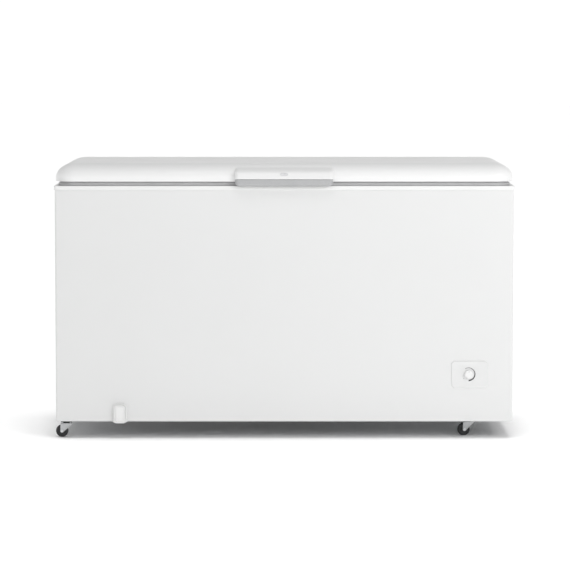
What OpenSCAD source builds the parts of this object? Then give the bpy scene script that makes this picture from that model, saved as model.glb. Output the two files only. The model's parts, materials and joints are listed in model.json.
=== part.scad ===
// Chest freezer: one wide cabinet on four swivel casters with a single counter-sprung lid.
// Millimetres. X runs to the right, Y to the back, Z up; the origin is on the floor under the centre.

/* [Display] */
// sub-part to draw, or all of them

/* [Cabinet] */
// width of the painted cabinet
body_w = 1580; // [1400:10:1700]
// depth of the painted cabinet
body_d = 690; // [640:5:750]
// height of the cabinet's lower edge above the floor
body_z = 59; // [57:1:70]
// height of the joint between the painted panels and the top frame
seam_z = 860; // [800:5:900]
// thickness of the painted steel sheet
sheet_t = 1.2; // [0.6:0.1:1.5]
// insulated wall thickness, from the outer face to the inside of the tub
wall_t = 65; // [60:1:80]
// radius of the upright bends at the front corners
bend_r = 8; // [4:1:12]

/* [Tub] */
// thickness of the inner liner
liner_t = 1; // [0.6:0.1:1.5]
// height of the tub floor
tub_z = 124; // [115:1:140]
// where the raised step over the compressor begins
step_x = 480; // [420:5:520]
// height of the step's top
step_z = 365; // [350:5:400]
// radius of the upright inside corners
tub_r = 12; // [6:1:30]

/* [Compressor bay] */
// left wall of the bay
bay_x = 538.2; // [500:0.1:560]
// roof of the bay
bay_z = 300.4; // [290:0.1:330]

/* [Lid] */
// height of the lid's lower edge
lid_z = 889; // [880:1:920]
// overall height of the freezer
lid_top = 951; // [930:1:990]
// plan radius of the lid corners
lid_corner = 70; // [69:1:90]
// horizontal reach of the rounded edge
lid_reach = 68; // [40:1:68]
// height of the rounded edge
lid_round = 50; // [30:1:52]
// thickness of the lid's outer shell
shell_t = 1.5; // [1:0.1:3]
// lowest point of the lid's inner plug
plug_z = 858; // [853:1:870]
// distance from the outer face to the side of the plug
plug_in = 68; // [66:1:80]

/* [Handle] */
// width of the handle
grip_w = 338; // [250:1:400]
// front face of the grip, measured from the cabinet's centre
grip_y = 373; // [365:1:380]
// lower edge of the grip
grip_z = 874; // [870:1:885]
// joint between the grip and its housing
grip_top = 897.5; // [895:0.5:905]

/* [Hinges] */
// distance of each hinge from the centre
hinge_x = 520; // [300:5:650]
// pivot, measured back from the cabinet's centre
pivot_y = 357; // [355:1:360]
// pivot height
pivot_z = 885; // [882:1:890]
// hinge pin radius
pin_r = 4; // [3:0.5:5]

/* [Casters] */
// wheel radius
wheel_r = 21.45; // [20:0.05:25]
// wheel width
wheel_w = 18; // [14:1:24]
// distance of the wheel behind its swivel axis
trail = 15.5; // [10:0.5:20]
// axle radius
axle_r = 3; // [2.5:0.5:4]
// swivel axis of the left casters
caster_left_x = -756; // [-760:0.1:-700]
// swivel axis of the right casters
caster_right_x = 640.4; // [600:0.1:740]
// swivel axis of the front left caster, front to back
caster_front_y = -300; // [-310:1:-250]
// swivel axis of the front right caster, front to back
caster_bay_y = -256; // [-300:1:-230]
// swivel axes of the rear casters, front to back
caster_rear_y = 300; // [250:1:310]
// resting turn of the front right caster
caster_turn = 15; // [0:1:90]

/* [Controls] */
// knob centre, sideways
knob_x = 638; // [600:1:700]
// knob centre, height
knob_z = 224; // [180:1:250]
// knob radius
knob_r = 14.8; // [12:0.1:20]
// drain outlet, sideways
drain_x = -568.6; // [-650:0.1:-500]
// drain outlet, height
drain_z = 84; // [80:1:100]

/* [Basket] */
// length of the basket along the cabinet
basket_l = 300; // [200:10:400]
// left end of the basket
basket_x = -712; // [-712:1:0]
// wire radius
wire_r = 2.2; // [1.5:0.1:3]

/* [Hidden] */
$fn = 48;
gap = 0.2;
clear = 0.3;
half_w = body_w / 2;
half_d = body_d / 2;
in_x = half_w - sheet_t;
front_in = half_d - sheet_t;
rear_in = half_d - 2 * sheet_t - gap;
panel_top = seam_z + 8;
frame_top = seam_z + 14;
frame_over = 3;
frame_t = 2;
rim_in = 60;
rail_in = wall_t + 7;
rail_z = seam_z - 14;
flange_w = 12;
return_w = 22;
rear_return = 25;
notch = bend_r + 0.5;
// foot and head of the sloping front of the handle housing, as [distance forwards, height]
face_foot = [grip_y - 0.6, grip_top + 3.4];
face_head = [grip_y - 13.5, 923.5];
// how far up that slope the middle of the badge sits
badge_at = 0.6;
floor_t = 1.2;
floor_z = body_z + sheet_t + gap;
foam_z = floor_z + floor_t + gap;
tub_x = half_w - wall_t;
tub_y = half_d - wall_t;
liner_top = rail_z - 3;
base_t = 2;
lid_vert = lid_top - lid_round;
plate_t = 6.5;
plate_top = floor_z - gap;
race_h = 5;
fork_top = plate_top - plate_t - race_h - 0.4;
fork_t = 1.8;
evap_r = 4;
evap_x = tub_x + liner_t + clear + evap_r;
evap_y = tub_y + liner_t + clear + evap_r;
evap_short = step_x + liner_t + clear + evap_r;
cond_r = 3;
cond_x = in_x - 0.5 - cond_r;
cond_y = 338.5;
coil_bend = 16;
evap_n = 7;
cond_n = 4;
evap_start = 300;
cond_start = 560;
coil_step = 30;
suction_x = 600;
suction_y = 305;
liquid_x = 720;
liquid_y = 320;
capillary_z = 95;
comp_x = 664;
comp_y = 90;
comp_r = 80;
foot_x = 80;
foot_y = 66;
drain_y = -240;
spigot_r = 9.9;
grille_x0 = 560;
grille_x1 = 735;
grille_z0 = 78;
grille_z1 = 282;
gland_x = 750;
gland_z = 92;
basket_y = 255;
hang_r = wire_r + 0.4;
basket_top = rail_z + clear + hang_r;
basket_low = 650;
hang_y = half_d - 66;

white = [0.93, 0.93, 0.92];
cream = [0.93, 0.88, 0.7];
grey = [0.62, 0.63, 0.64];
steel = [0.72, 0.73, 0.75];
dark = [0.12, 0.12, 0.13];
copper = [0.75, 0.45, 0.3];

// ---------- shared shapes ----------

// axis-aligned block between two corners
module block(a, b) {
    translate(a)
        cube(b - a);
}

// plate with rounded corners in plan, centred on the origin
module round_plate(w, d, r, z, h) {
    translate([0, 0, z])
        linear_extrude(h) {
            square([w - 2 * r, d], center = true);
            square([w, d - 2 * r], center = true);
            for (sx = [-1, 1], sy = [-1, 1])
                translate([sx * (w / 2 - r), sy * (d / 2 - r)])
                    circle(r);
        }
}

// round bar between two points
module rod(a, b, r) {
    v = b - a;
    translate(a)
        rotate([0, acos(v[2] / norm(v)), atan2(v[1], v[0])])
            cylinder(h = norm(v), r = r);
}

// round bar along a list of points, with ball corners
module pipe(points, r) {
    for (i = [1:len(points) - 1])
        rod(points[i - 1], points[i], r);
    for (i = [1:1:len(points) - 2])
        translate(points[i])
            sphere(r + 0.1);
}

// cylinder along Y from y0 to y1
module bar_y(x, z, r, y0, y1) {
    translate([x, y0, z])
        rotate([-90, 0, 0])
            cylinder(h = y1 - y0, r = r);
}

// cylinder along X from x0 to x1
module bar_x(y, z, r, x0, x1) {
    translate([x0, y, z])
        rotate([0, 90, 0])
            cylinder(h = x1 - x0, r = r);
}

// section drawn in Y and Z, extended along X
module along_x(x0, x1) {
    translate([x0, 0, 0])
        rotate([90, 0, 90])
            linear_extrude(x1 - x0)
                children();
}

// outline drawn in X and Z, extended along Y
module along_y(y0, y1) {
    translate([0, y1, 0])
        rotate([90, 0, 0])
            linear_extrude(y1 - y0)
                children();
}

// quarter of a ring, lying flat, centred at the given point
module elbow(x, y, z, turn, bend, r) {
    translate([x, y, z])
        rotate([0, 0, turn])
            rotate_extrude(angle = 90)
                translate([bend, 0])
                    circle(r, $fn = 16);
}

// tube wrapped once round the tub, open between x_gap and x_end at the rear
module wrap(x0, x1, yh, z, r, x_gap, x_end) {
    b = coil_bend;
    rod([x_gap, yh, z], [x0 + b, yh, z], r);
    elbow(x0 + b, yh - b, z, 90, b, r);
    rod([x0, yh - b, z], [x0, b - yh, z], r);
    elbow(x0 + b, b - yh, z, 180, b, r);
    rod([x0 + b, -yh, z], [x1 - b, -yh, z], r);
    elbow(x1 - b, b - yh, z, 270, b, r);
    rod([x1, b - yh, z], [x1, yh - b, z], r);
    elbow(x1 - b, yh - b, z, 0, b, r);
    rod([x1 - b, yh, z], [x_end, yh, z], r);
}

// heights and riser positions of the two coils
function evap_z(k) = k < 3 ? 160 + 80 * k : 420 + 95 * (k - 3);
function evap_right(k) = k < 3 ? evap_short : evap_x;
function evap_gap(k) = evap_start + coil_step * k;
function evap_end(k) = k == evap_n ? suction_x : evap_gap(k + 1);
function cond_z(k) = 350 + 100 * k;
function cond_gap(k) = cond_start + coil_step * k;
function cond_end(k) = k == cond_n ? liquid_x : cond_gap(k + 1);

// inside of the tub grown by e, with the step over the compressor left out
module tub_space(e, top) {
    lap = 20;
    round_plate(2 * (tub_x + e), 2 * (tub_y + e), tub_r + e, step_z - e, top - step_z + e);
    translate([(step_x - tub_x) / 2, 0, 0])
        round_plate(step_x + tub_x + 2 * e, 2 * (tub_y + e), tub_r + e, tub_z - e, step_z - tub_z + lap);
}

// edge section of the lid, from its core outwards
function lid_edge(e, low) = concat(
    [[0, low], [lid_corner - e, low]],
    [for (a = [0:7.5:90]) [
        lid_corner - lid_reach + (lid_reach - e) * cos(a),
        lid_vert + (lid_round - e) * sin(a)
    ]],
    [[0, lid_top - e]]
);

// solid with the outline of the lid, shrunk by e, from height low upwards
module lid_solid(e, low) {
    cx = half_w - lid_corner;
    cy = half_d - lid_corner;
    block([-cx, -cy, low], [cx, cy, lid_top - e]);
    for (s = [0, 1]) {
        mirror([0, s, 0])
            translate([0, cy, 0])
                along_x(-cx, cx)
                    polygon(lid_edge(e, low));
        mirror([s, 0, 0])
            translate([cx, 0, 0])
                along_y(-cy, cy)
                    polygon(lid_edge(e, low));
    }
    for (sx = [0, 1], sy = [0, 1])
        mirror([sx, 0, 0])
            mirror([0, sy, 0])
                translate([cx, cy, 0])
                    rotate_extrude(angle = 90)
                        polygon(lid_edge(e, low));
}

// reach of the lid's front face at height z, from the cabinet's centre
function lid_face(z) = half_d - lid_reach
    + lid_reach * sqrt(1 - pow(max(z - lid_vert, 0) / lid_round, 2));

// places of the screws that hold one hinge base, and one hinge arm
hinge_holes = [for (sx = [-1, 1], z = [790, 840]) [sx * 20, z]];
arm_holes = [for (sx = [-25, -9, 9, 25]) [sx, 904]];
grille_holes = [for (x = [grille_x0 + 8, grille_x1 - 8], z = [grille_z0 + 8, grille_z1 - 8]) [x, z]];

// caster positions: swivel axis and resting turn
front_left = [caster_left_x, caster_front_y, 0];
front_right = [caster_right_x, caster_bay_y, caster_turn];
rear_left = [caster_left_x, caster_rear_y, 0];
rear_right = [caster_right_x, caster_rear_y, 0];
casters = [front_left, front_right, rear_left, rear_right];
caster_hole = 14;

// something drawn for every caster screw
module at_caster_holes() {
    for (c = casters, sx = [-1, 1], sy = [-1, 1])
        translate([c[0] + sx * caster_hole, c[1] + sy * caster_hole, 0])
            children();
}

// something drawn in a caster's own axes, trailing towards +X
module at_caster(c) {
    translate([c[0], c[1], 0])
        rotate([0, 0, 180 + c[2]])
            children();
}

// ---------- cabinet ----------

// plan outline of the front sheet, grown inwards by e
module front_outline(e) {
    translate([-half_w + e, -half_d + bend_r])
        square([body_w - 2 * e, return_w + (e > 0 ? 1 : 0)]);
    translate([-half_w + bend_r, -half_d + e])
        square([body_w - 2 * bend_r, bend_r]);
    for (s = [-1, 1])
        translate([s * (half_w - bend_r), -half_d + bend_r])
            circle(bend_r - e);
}

module front_panel() {
    color(white)
        difference() {
            union() {
                translate([0, 0, body_z])
                    linear_extrude(panel_top - body_z)
                        difference() {
                            front_outline(0);
                            front_outline(sheet_t);
                        }
                block([flange_w + 2 - half_w, -front_in - 0.1, body_z],
                    [half_w - flange_w - 2, flange_w - front_in, body_z + sheet_t]);
            }
            bar_y(knob_x, knob_z, 11, -half_d - 1, -front_in + 1);
            bar_y(drain_x, drain_z, 12.5, -half_d - 1, -front_in + 1);
        }
}

// plan outline of the right side sheet and its rear return, grown inwards by e
module side_outline(e) {
    lap = e > 0 ? 1 : 0;
    y0 = -half_d + bend_r + return_w + 0.4 - lap;
    x0 = half_w - rear_return - lap;
    translate([x0, y0]) {
        square([half_w - e - x0, half_d - bend_r - y0]);
        square([half_w - bend_r - x0, half_d - e - y0]);
    }
    translate([half_w - bend_r, half_d - bend_r])
        circle(bend_r - e);
}

// side sheet on the right, bent round the rear corner
module side_panel() {
    translate([0, 0, body_z])
        linear_extrude(panel_top - body_z)
            difference() {
                side_outline(0);
                side_outline(sheet_t);
            }
    block([in_x - flange_w, -half_d + bend_r + return_w + 0.4, body_z],
        [in_x + 0.1, rear_in - flange_w, body_z + sheet_t]);
}

module left_side_panel() {
    color(white)
        mirror([1, 0, 0])
            side_panel();
}

module right_side_panel() {
    color(white)
        side_panel();
}

module rear_panel() {
    color(white)
        difference() {
            union() {
                block([notch - half_w, rear_in, body_z], [half_w - notch, rear_in + sheet_t, panel_top]);
                block([flange_w + 2 - in_x, rear_in - flange_w + clear, body_z],
                    [in_x - flange_w - 2, rear_in + 0.1, body_z + sheet_t]);
            }
            block([grille_x0 + 16, rear_in - 1, grille_z0 + 16],
                [grille_x1 - 16, half_d, grille_z1 - 16]);
            for (sx = [-1, 1], p = hinge_holes)
                bar_y(sx * hinge_x + p[0], p[1], 2.7, rear_in - 1, half_d);
            for (p = grille_holes)
                bar_y(p[0], p[1], 2.2, rear_in - 1, half_d);
            bar_y(gland_x, gland_z, 6.8, rear_in - 1, half_d);
        }
}

// flat plate inside the painted sheets, notched at the corners for their bends
module inside_plate(x0, x1, z, t) {
    block([x0, notch - half_d, z], [x1, half_d - notch, z + t]);
    block([max(x0, notch - half_w), gap - front_in, z], [min(x1, half_w - notch), rear_in - gap, z + t]);
}

module bottom_panel() {
    x1 = bay_x + floor_t;
    color(steel)
        difference() {
            union() {
                inside_plate(gap - in_x, x1, floor_z, floor_t);
                block([bay_x, gap - front_in, floor_z], [x1, rear_in - gap, bay_z + floor_t]);
                inside_plate(bay_x, in_x - gap, bay_z, floor_t);
            }
            at_caster_holes()
                translate([0, 0, floor_z - 1])
                    cylinder(h = 4, r = 2.2, $fn = 24);
            for (p = [[cond_start, cond_y], [liquid_x, liquid_y], [suction_x, suction_y]])
                translate([p[0], p[1], bay_z - 1])
                    cylinder(h = 4, r = 3.4, $fn = 24);
            rod([bay_x - 1, suction_y, capillary_z], [x1 + 1, suction_y, capillary_z], 2.4);
        }
}

module compressor_base() {
    x0 = bay_x + floor_t + 0.4;
    y0 = gap - front_in;
    y1 = rear_in - gap;
    lip_t = 1.5;
    lip_top = floor_z + 14;
    color(steel)
        difference() {
            union() {
                inside_plate(x0, in_x - gap, floor_z, base_t);
                block([x0, y0, floor_z], [half_w - notch, y0 + lip_t, lip_top]);
                block([x0, y1 - lip_t, floor_z], [half_w - notch, y1, lip_top]);
            }
            at_caster_holes()
                translate([0, 0, floor_z - 1])
                    cylinder(h = 4, r = 2.2, $fn = 24);
            at_feet()
                translate([0, 0, floor_z - 1])
                    cylinder(h = 4, r = 4.3, $fn = 24);
            for (i = [0:3])
                block([580 + 45 * i, -170, floor_z - 1], [592 + 45 * i, -60, floor_z + 4]);
        }
}

// grooves the coils lie in
module coil_grooves() {
    for (k = [0:evap_n])
        block([-evap_x - 5, -evap_y - 5, evap_z(k) - 5], [evap_right(k) + 5, evap_y + 5, evap_z(k) + 5]);
    for (k = [0:evap_n - 1])
        block([evap_end(k) - 5, tub_y, evap_z(k) - 5], [evap_end(k) + 5, evap_y + 5, evap_z(k + 1) + 5]);
    for (k = [0:cond_n])
        difference() {
            block([-half_w, -half_d, cond_z(k) - 4], [half_w, half_d, cond_z(k) + 4]);
            round_plate(2 * (cond_x - 4), 2 * (cond_y - 4), coil_bend - 4, cond_z(k) - 5, 10);
        }
    for (k = [0:cond_n - 1])
        block([cond_end(k) - 4, cond_y - 4, cond_z(k) - 4], [cond_end(k) + 4, half_d, cond_z(k + 1) + 4]);
    block([cond_start - 4, cond_y - 4, bay_z], [cond_start + 4, half_d, cond_z(0) + 4]);
    block([liquid_x - 4, liquid_y - 4, bay_z], [liquid_x + 4, half_d, cond_z(cond_n) + 4]);
    block([suction_x - 5, tub_y, bay_z], [suction_x + 5, suction_y + 5, evap_z(evap_n) + 5]);
    block([evap_start - 5, suction_y - 5, capillary_z - 5], [bay_x + 1, suction_y + 5, capillary_z + 5]);
    block([evap_start - 5, tub_y, capillary_z - 5], [evap_start + 5, suction_y + 5, evap_z(0) + 5]);
}

module cabinet_foam() {
    color(cream)
        difference() {
            inside_plate(gap - in_x, in_x - gap, foam_z, frame_top - frame_t - gap - foam_z);
            tub_space(liner_t + gap, frame_top + 5);
            round_plate(body_w - 2 * rim_in + 4 * frame_t, body_d - 2 * rim_in + 4 * frame_t,
                tub_r + 4, liner_top - 1.5, 60);
            block([bay_x - gap, -half_d, 0], [half_w, half_d, bay_z + floor_t + gap]);
            coil_grooves();
            bar_y(drain_x, drain_z, 12.5, -half_d, drain_y + 12);
            translate([drain_x, drain_y, drain_z - 12.5])
                cylinder(h = 60, r = 12.5);
            for (sx = [-1, 1], p = hinge_holes)
                bar_y(sx * hinge_x + p[0], p[1], 2.7, rear_in - 16, half_d);
            at_caster_holes()
                cylinder(h = foam_z + 6, r = 2.3, $fn = 24);
        }
}

module inner_liner() {
    color(steel)
        difference() {
            union() {
                tub_space(liner_t, liner_top);
                round_plate(2 * tub_x + 12, 2 * tub_y + 12, tub_r + 6, liner_top - 1, 1);
            }
            tub_space(0, liner_top + 5);
            translate([drain_x, drain_y, tub_z - 5])
                cylinder(h = 10, r = 8.2);
        }
}

module top_frame() {
    w = body_w + 2 * frame_over;
    d = body_d + 2 * frame_over;
    iw = body_w - 2 * rim_in;
    id = body_d - 2 * rim_in;
    color(white)
        difference() {
            union() {
                round_plate(w, d, 11, seam_z, frame_top - seam_z);
                round_plate(iw + 2 * frame_t, id + 2 * frame_t, tub_r, rail_z + clear, 20);
            }
            difference() {
                round_plate(body_w + 2 * clear, body_d + 2 * clear, bend_r + clear,
                    seam_z - 1, frame_top - frame_t - seam_z + 1);
                round_plate(iw + 2 * frame_t, id + 2 * frame_t, tub_r, seam_z - 2, 20);
            }
            round_plate(iw, id, tub_r - frame_t, rail_z - 1, 40);
            for (s = [-1, 1])
                translate([0, s * id / 2, 0])
                    block([-w, -0.15, rail_z - 1], [w, 0.15, frame_top + 1]);
        }
}

module basket_rail() {
    ow = body_w - 2 * rim_in + 2 * frame_t;
    od = body_d - 2 * rim_in + 2 * frame_t;
    iw = body_w - 2 * rail_in;
    id = body_d - 2 * rail_in;
    color(white)
        difference() {
            round_plate(ow, od, tub_r, rail_z - 10, 10);
            round_plate(iw, id, 6, rail_z - 11, 12);
            difference() {
                round_plate(ow + 2, od + 2, tub_r, rail_z - 11, 9);
                round_plate(iw + 4, id + 4, 8, rail_z - 12, 11);
            }
            for (s = [-1, 1])
                translate([0, s * id / 2, 0])
                    block([-half_w, -0.15, rail_z - 11], [half_w, 0.15, rail_z + 1]);
        }
}

// ---------- cooling circuit ----------

module evaporator_coil() {
    color(copper) {
        for (k = [0:evap_n])
            wrap(-evap_x, evap_right(k), evap_y, evap_z(k), evap_r, evap_gap(k), evap_end(k));
        for (k = [0:evap_n - 1])
            pipe([[evap_end(k), evap_y, evap_z(k)], [evap_end(k), evap_y, evap_z(k + 1)]], evap_r);
        for (k = [0:evap_n])
            for (x = [evap_gap(k), evap_end(k)])
                translate([x, evap_y, evap_z(k)])
                    sphere(evap_r);
        pipe([
            [suction_x, evap_y, evap_z(evap_n)],
            [suction_x, suction_y, evap_z(evap_n)],
            [suction_x, suction_y, bay_z + 2.5]
        ], cond_r);
        pipe([
            [evap_start, evap_y, evap_z(0)],
            [evap_start, suction_y, evap_z(0)],
            [evap_start, suction_y, capillary_z],
            [bay_x - 0.5, suction_y, capillary_z]
        ], 2);
    }
}

module condenser_coil() {
    color(copper) {
        for (k = [0:cond_n])
            wrap(-cond_x, cond_x, cond_y, cond_z(k), cond_r, cond_gap(k), cond_end(k));
        for (k = [0:cond_n - 1])
            rod([cond_end(k), cond_y, cond_z(k)], [cond_end(k), cond_y, cond_z(k + 1)], cond_r);
        for (k = [0:cond_n])
            for (x = [cond_gap(k), cond_end(k)])
                translate([x, cond_y, cond_z(k)])
                    sphere(cond_r);
        rod([cond_start, cond_y, cond_z(0)], [cond_start, cond_y, bay_z + 2.5], cond_r);
        pipe([
            [liquid_x, cond_y, cond_z(cond_n)],
            [liquid_x, liquid_y, cond_z(cond_n)],
            [liquid_x, liquid_y, bay_z + 2.5]
        ], cond_r);
    }
}

// something drawn at each compressor foot
module at_feet() {
    for (sx = [-1, 1], sy = [-1, 1])
        translate([comp_x + sx * foot_x, comp_y + sy * foot_y, 0])
            children();
}

module compressor() {
    low = 80;
    wide = 118;
    high = 205;
    color(dark) {
        translate([comp_x, comp_y, 0]) {
            rotate_extrude($fn = 64)
                polygon(concat(
                    [[0, low]],
                    [for (a = [0:15:90]) [40 + (comp_r - 40) * sin(a), wide - (wide - low) * cos(a)]],
                    [for (a = [0:15:90]) [40 + (comp_r - 40) * cos(a), high + 50 * sin(a)]],
                    [[0, high + 50]]
                ));
            translate([0, 0, 160])
                cylinder(h = 5, r = comp_r + 4, $fn = 64);
            translate([20, -20, high + 48])
                cylinder(h = 8, r = 12);
        }
        difference() {
            block([comp_x - foot_x - 14, comp_y - foot_y - 14, 77],
                [comp_x + foot_x + 14, comp_y + foot_y + 14, 81]);
            at_feet()
                translate([0, 0, 70])
                    cylinder(h = 20, r = 5, $fn = 24);
        }
    }
}

module compressor_grommets() {
    color(dark)
        at_feet()
            difference() {
                translate([0, 0, floor_z + base_t + gap])
                    cylinder(h = 76.8 - floor_z - base_t - gap, r = 12);
                translate([0, 0, 50])
                    cylinder(h = 40, r = 4.6);
            }
}

module compressor_bolts() {
    color(steel)
        at_feet() {
            translate([0, 0, floor_z - gap - 3])
                cylinder(h = 3, r = 6.5, $fn = 24);
            translate([0, 0, floor_z - 2])
                cylinder(h = 90 - floor_z, r = 3.9, $fn = 24);
            translate([0, 0, 81.2])
                cylinder(h = 5, r = 7, $fn = 24);
        }
}

module relay_cover() {
    color(dark)
        block([comp_x - 27, comp_y - comp_r - 30, 125], [comp_x + 27, comp_y - comp_r - 5, 190]);
}

module filter_drier() {
    color(copper)
        translate([liquid_x, liquid_y, 0]) {
            translate([0, 0, 150])
                cylinder(h = 70, r = 10, $fn = 32);
            translate([0, 0, 220])
                cylinder(h = 14, r1 = 10, r2 = 3.4, $fn = 32);
            translate([0, 0, 136])
                cylinder(h = 14, r1 = 2.6, r2 = 10, $fn = 32);
        }
}

module refrigerant_pipes() {
    top = bay_z + 2;
    shell_y = comp_y + sqrt(pow(comp_r, 2) - pow(comp_x - suction_x - cond_r, 2)) + clear;
    color(copper) {
        pipe([
            [cond_start, cond_y, top],
            [cond_start, cond_y, 180],
            [cond_start, comp_y, 180],
            [comp_x - comp_r - 0.5, comp_y, 180]
        ], cond_r);
        pipe([
            [suction_x, suction_y, top],
            [suction_x, suction_y, 200],
            [suction_x, shell_y, 200]
        ], cond_r);
        rod([liquid_x, liquid_y, top], [liquid_x, liquid_y, 234.3], cond_r);
        pipe([
            [liquid_x, liquid_y, 135.7],
            [liquid_x, liquid_y, capillary_z],
            [liquid_x, suction_y, capillary_z],
            [bay_x + 0.3, suction_y, capillary_z]
        ], 2);
    }
}

// ---------- controls, drain and rear fittings ----------

module thermostat_body() {
    color(grey)
        difference() {
            union() {
                block([knob_x - 25, -half_d + 2, knob_z - 22], [knob_x + 25, -half_d + 42, knob_z + 22]);
                bar_y(knob_x, knob_z, 9, -half_d + 0.1, -half_d + 3);
            }
            bar_y(knob_x, knob_z, 3.1, -half_d - 1, -half_d + 30);
        }
}

// control panel outline with cut corners, shrunk by e
module bezel_outline(e) {
    x0 = knob_x - 61 + e;
    x1 = knob_x + 65 - e;
    z0 = knob_z - 49 + e;
    z1 = knob_z + 45 - e;
    c = 9 - e / 2;
    polygon([
        [x0 + c, z0], [x1 - c, z0], [x1, z0 + c], [x1, z1 - c],
        [x1 - c, z1], [x0 + c, z1], [x0, z1 - c], [x0, z0 + c]
    ]);
}

module control_bezel() {
    color(white)
        difference() {
            union() {
                along_y(-half_d - 1.8, -half_d - gap)
                    bezel_outline(0);
                along_y(-half_d - 2.8, -half_d - 1.7)
                    bezel_outline(1.4);
            }
            bar_y(knob_x, knob_z, 4, -half_d - 5, -half_d + 1);
        }
}

module thermostat_knob() {
    y = -half_d - 3.1;
    color(white)
        difference() {
            union() {
                bar_y(knob_x, knob_z, knob_r, y - 10, y);
                bar_y(knob_x, knob_z, knob_r - 1.2, y - 11.4, y - 9);
                bar_y(knob_x, knob_z, 3.02, y - 2, -half_d + 22);
            }
            block([knob_x - 0.9, y - 12, knob_z + knob_r - 8], [knob_x + 0.9, y - 10.4, knob_z + knob_r + 1]);
        }
}

module rear_grille() {
    y0 = half_d - sheet_t + gap;
    color(grey)
        difference() {
            block([grille_x0, y0, grille_z0], [grille_x1, y0 + 3, grille_z1]);
            for (i = [0:13])
                block([grille_x0 + 20, y0 - 1, grille_z0 + 19 + 12 * i],
                    [grille_x1 - 20, y0 + 4, grille_z0 + 26 + 12 * i]);
            for (p = grille_holes)
                bar_y(p[0], p[1], 2.2, y0 - 1, y0 + 4);
        }
}

// outline of the drain outlet, of half width w: round shoulders and cut lower corners
module arch(w, low, high) {
    r = w - 8;
    cut = 4;
    for (s = [-1, 1])
        translate([drain_x + s * (w - r), high - r])
            circle(r);
    translate([drain_x - w, low + cut])
        square([2 * w, high - r - low - cut]);
    translate([drain_x - w + r, low + cut])
        square([2 * (w - r), high - low - cut]);
    polygon([
        [drain_x - w, low + cut], [drain_x + w, low + cut],
        [drain_x + w - cut, low], [drain_x + cut - w, low]
    ]);
}

module drain_housing() {
    color(white)
        difference() {
            union() {
                along_y(-half_d - 5, -half_d - gap)
                    arch(24.5, 55, 122);
                bar_y(drain_x, drain_z, 12.2, -half_d - 1, -half_d + 46);
            }
            along_y(-half_d - 6, -half_d - 2)
                arch(19.6, 50, 117.1);
            bar_y(drain_x, drain_z, spigot_r + 0.1, -half_d - 6, -half_d + 47);
        }
}

module drain_cap() {
    color(white)
        difference() {
            union() {
                along_y(-half_d - 13, -half_d - 2.3)
                    arch(19, 54, 116.5);
                bar_y(drain_x, drain_z, spigot_r, -half_d - 3, -half_d + 40);
            }
            bar_y(drain_x, drain_z, 7.5, -half_d + 4, -half_d + 41);
            block([drain_x - 5, -half_d + 4, drain_z - 12], [drain_x + 5, -half_d + 12, drain_z]);
            along_y(-half_d - 14, -half_d - 11.4)
                difference() {
                    arch(15.5, 59, 112.5);
                    arch(14.3, 60.2, 111.3);
                }
        }
}

module drain_tube() {
    bend = 16;
    z0 = drain_z;
    color(white)
        difference() {
            union() {
                translate([drain_x, drain_y, z0 + bend])
                    cylinder(h = tub_z - liner_t - gap - z0 - bend, r = 10);
                translate([drain_x, drain_y - bend, z0 + bend])
                    rotate([90, 0, 90])
                        rotate([0, 0, -90])
                            rotate_extrude(angle = 90)
                                translate([bend, 0])
                                    circle(10);
                bar_y(drain_x, z0, 10, -half_d + 46.3, drain_y - bend);
            }
            translate([drain_x, drain_y, z0 + bend])
                cylinder(h = tub_z - z0, r = 8);
            translate([drain_x, drain_y - bend, z0 + bend])
                rotate([90, 0, 90])
                    rotate([0, 0, -90])
                        rotate_extrude(angle = 90)
                            translate([bend, 0])
                                circle(8);
            bar_y(drain_x, z0, 8, -half_d + 40, drain_y - bend);
        }
}

module drain_plug() {
    color(grey)
        translate([drain_x, drain_y, tub_z + gap]) {
            cylinder(h = 2.5, r = 14);
            translate([0, 0, -16])
                cylinder(h = 17, r = 7.95);
            translate([-7, -1.5, 2])
                cube([14, 3, 8]);
        }
}

module cable_gland() {
    y = half_d - sheet_t;
    color(dark)
        difference() {
            union() {
                bar_y(gland_x, gland_z, 9, y + gap - sheet_t + 1, y + 5);
                bar_y(gland_x, gland_z, 6.5, rear_in - 5, y + 8);
                bar_y(gland_x, gland_z, 9, rear_in - 4.2, rear_in - gap);
            }
            bar_y(gland_x, gland_z, 3.6, rear_in - 6, y + 9);
        }
}

// ---------- hinges ----------

module hinge_base(s) {
    y0 = half_d + clear;
    x = s * hinge_x;
    color(steel)
        difference() {
            union() {
                block([x - 34, y0, 768], [x + 34, y0 + 3, 858]);
                for (t = [-1, 1])
                    along_x(x + t * 29.5 - 1.5, x + t * 29.5 + 1.5)
                        union() {
                            translate([pivot_y, pivot_z])
                                circle(10);
                            polygon([
                                [y0 + 2, 778], [y0 + 22, 800], [pivot_y + 10, pivot_z],
                                [half_d + frame_over + 0.6, pivot_z - 5],
                                [half_d + frame_over + 0.6, 857], [y0 + 2, 857]
                            ]);
                        }
            }
            bar_x(pivot_y, pivot_z, pin_r + 0.05, x - 40, x + 40);
            for (p = hinge_holes)
                bar_y(x + p[0], p[1], 2.7, y0 - 1, y0 + 4);
        }
}

module hinge_base_left() {
    hinge_base(-1);
}

module hinge_base_right() {
    hinge_base(1);
}

module hinge_pins() {
    color(steel)
        for (s = [-1, 1]) {
            bar_x(pivot_y, pivot_z, pin_r, s * hinge_x - 33, s * hinge_x + 33);
            for (t = [-1, 1])
                translate([s * hinge_x + t * 32.4, 0, 0])
                    bar_x(pivot_y, pivot_z, pin_r + 2, -1.2, 1.2);
        }
}

module hinge_springs() {
    color(dark)
        for (s = [-1, 1], t = [0, 1])
            translate([s * hinge_x, pivot_y, pivot_z])
                mirror([t, 0, 0])
                    difference() {
                        union() {
                            bar_x(0, 0, 7.2, 13.4, 26.4);
                            block([13.8, 5, -40], [15.6, 6.8, 0]);
                        }
                        bar_x(0, 0, 4.8, 12, 28);
                    }
}

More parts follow.
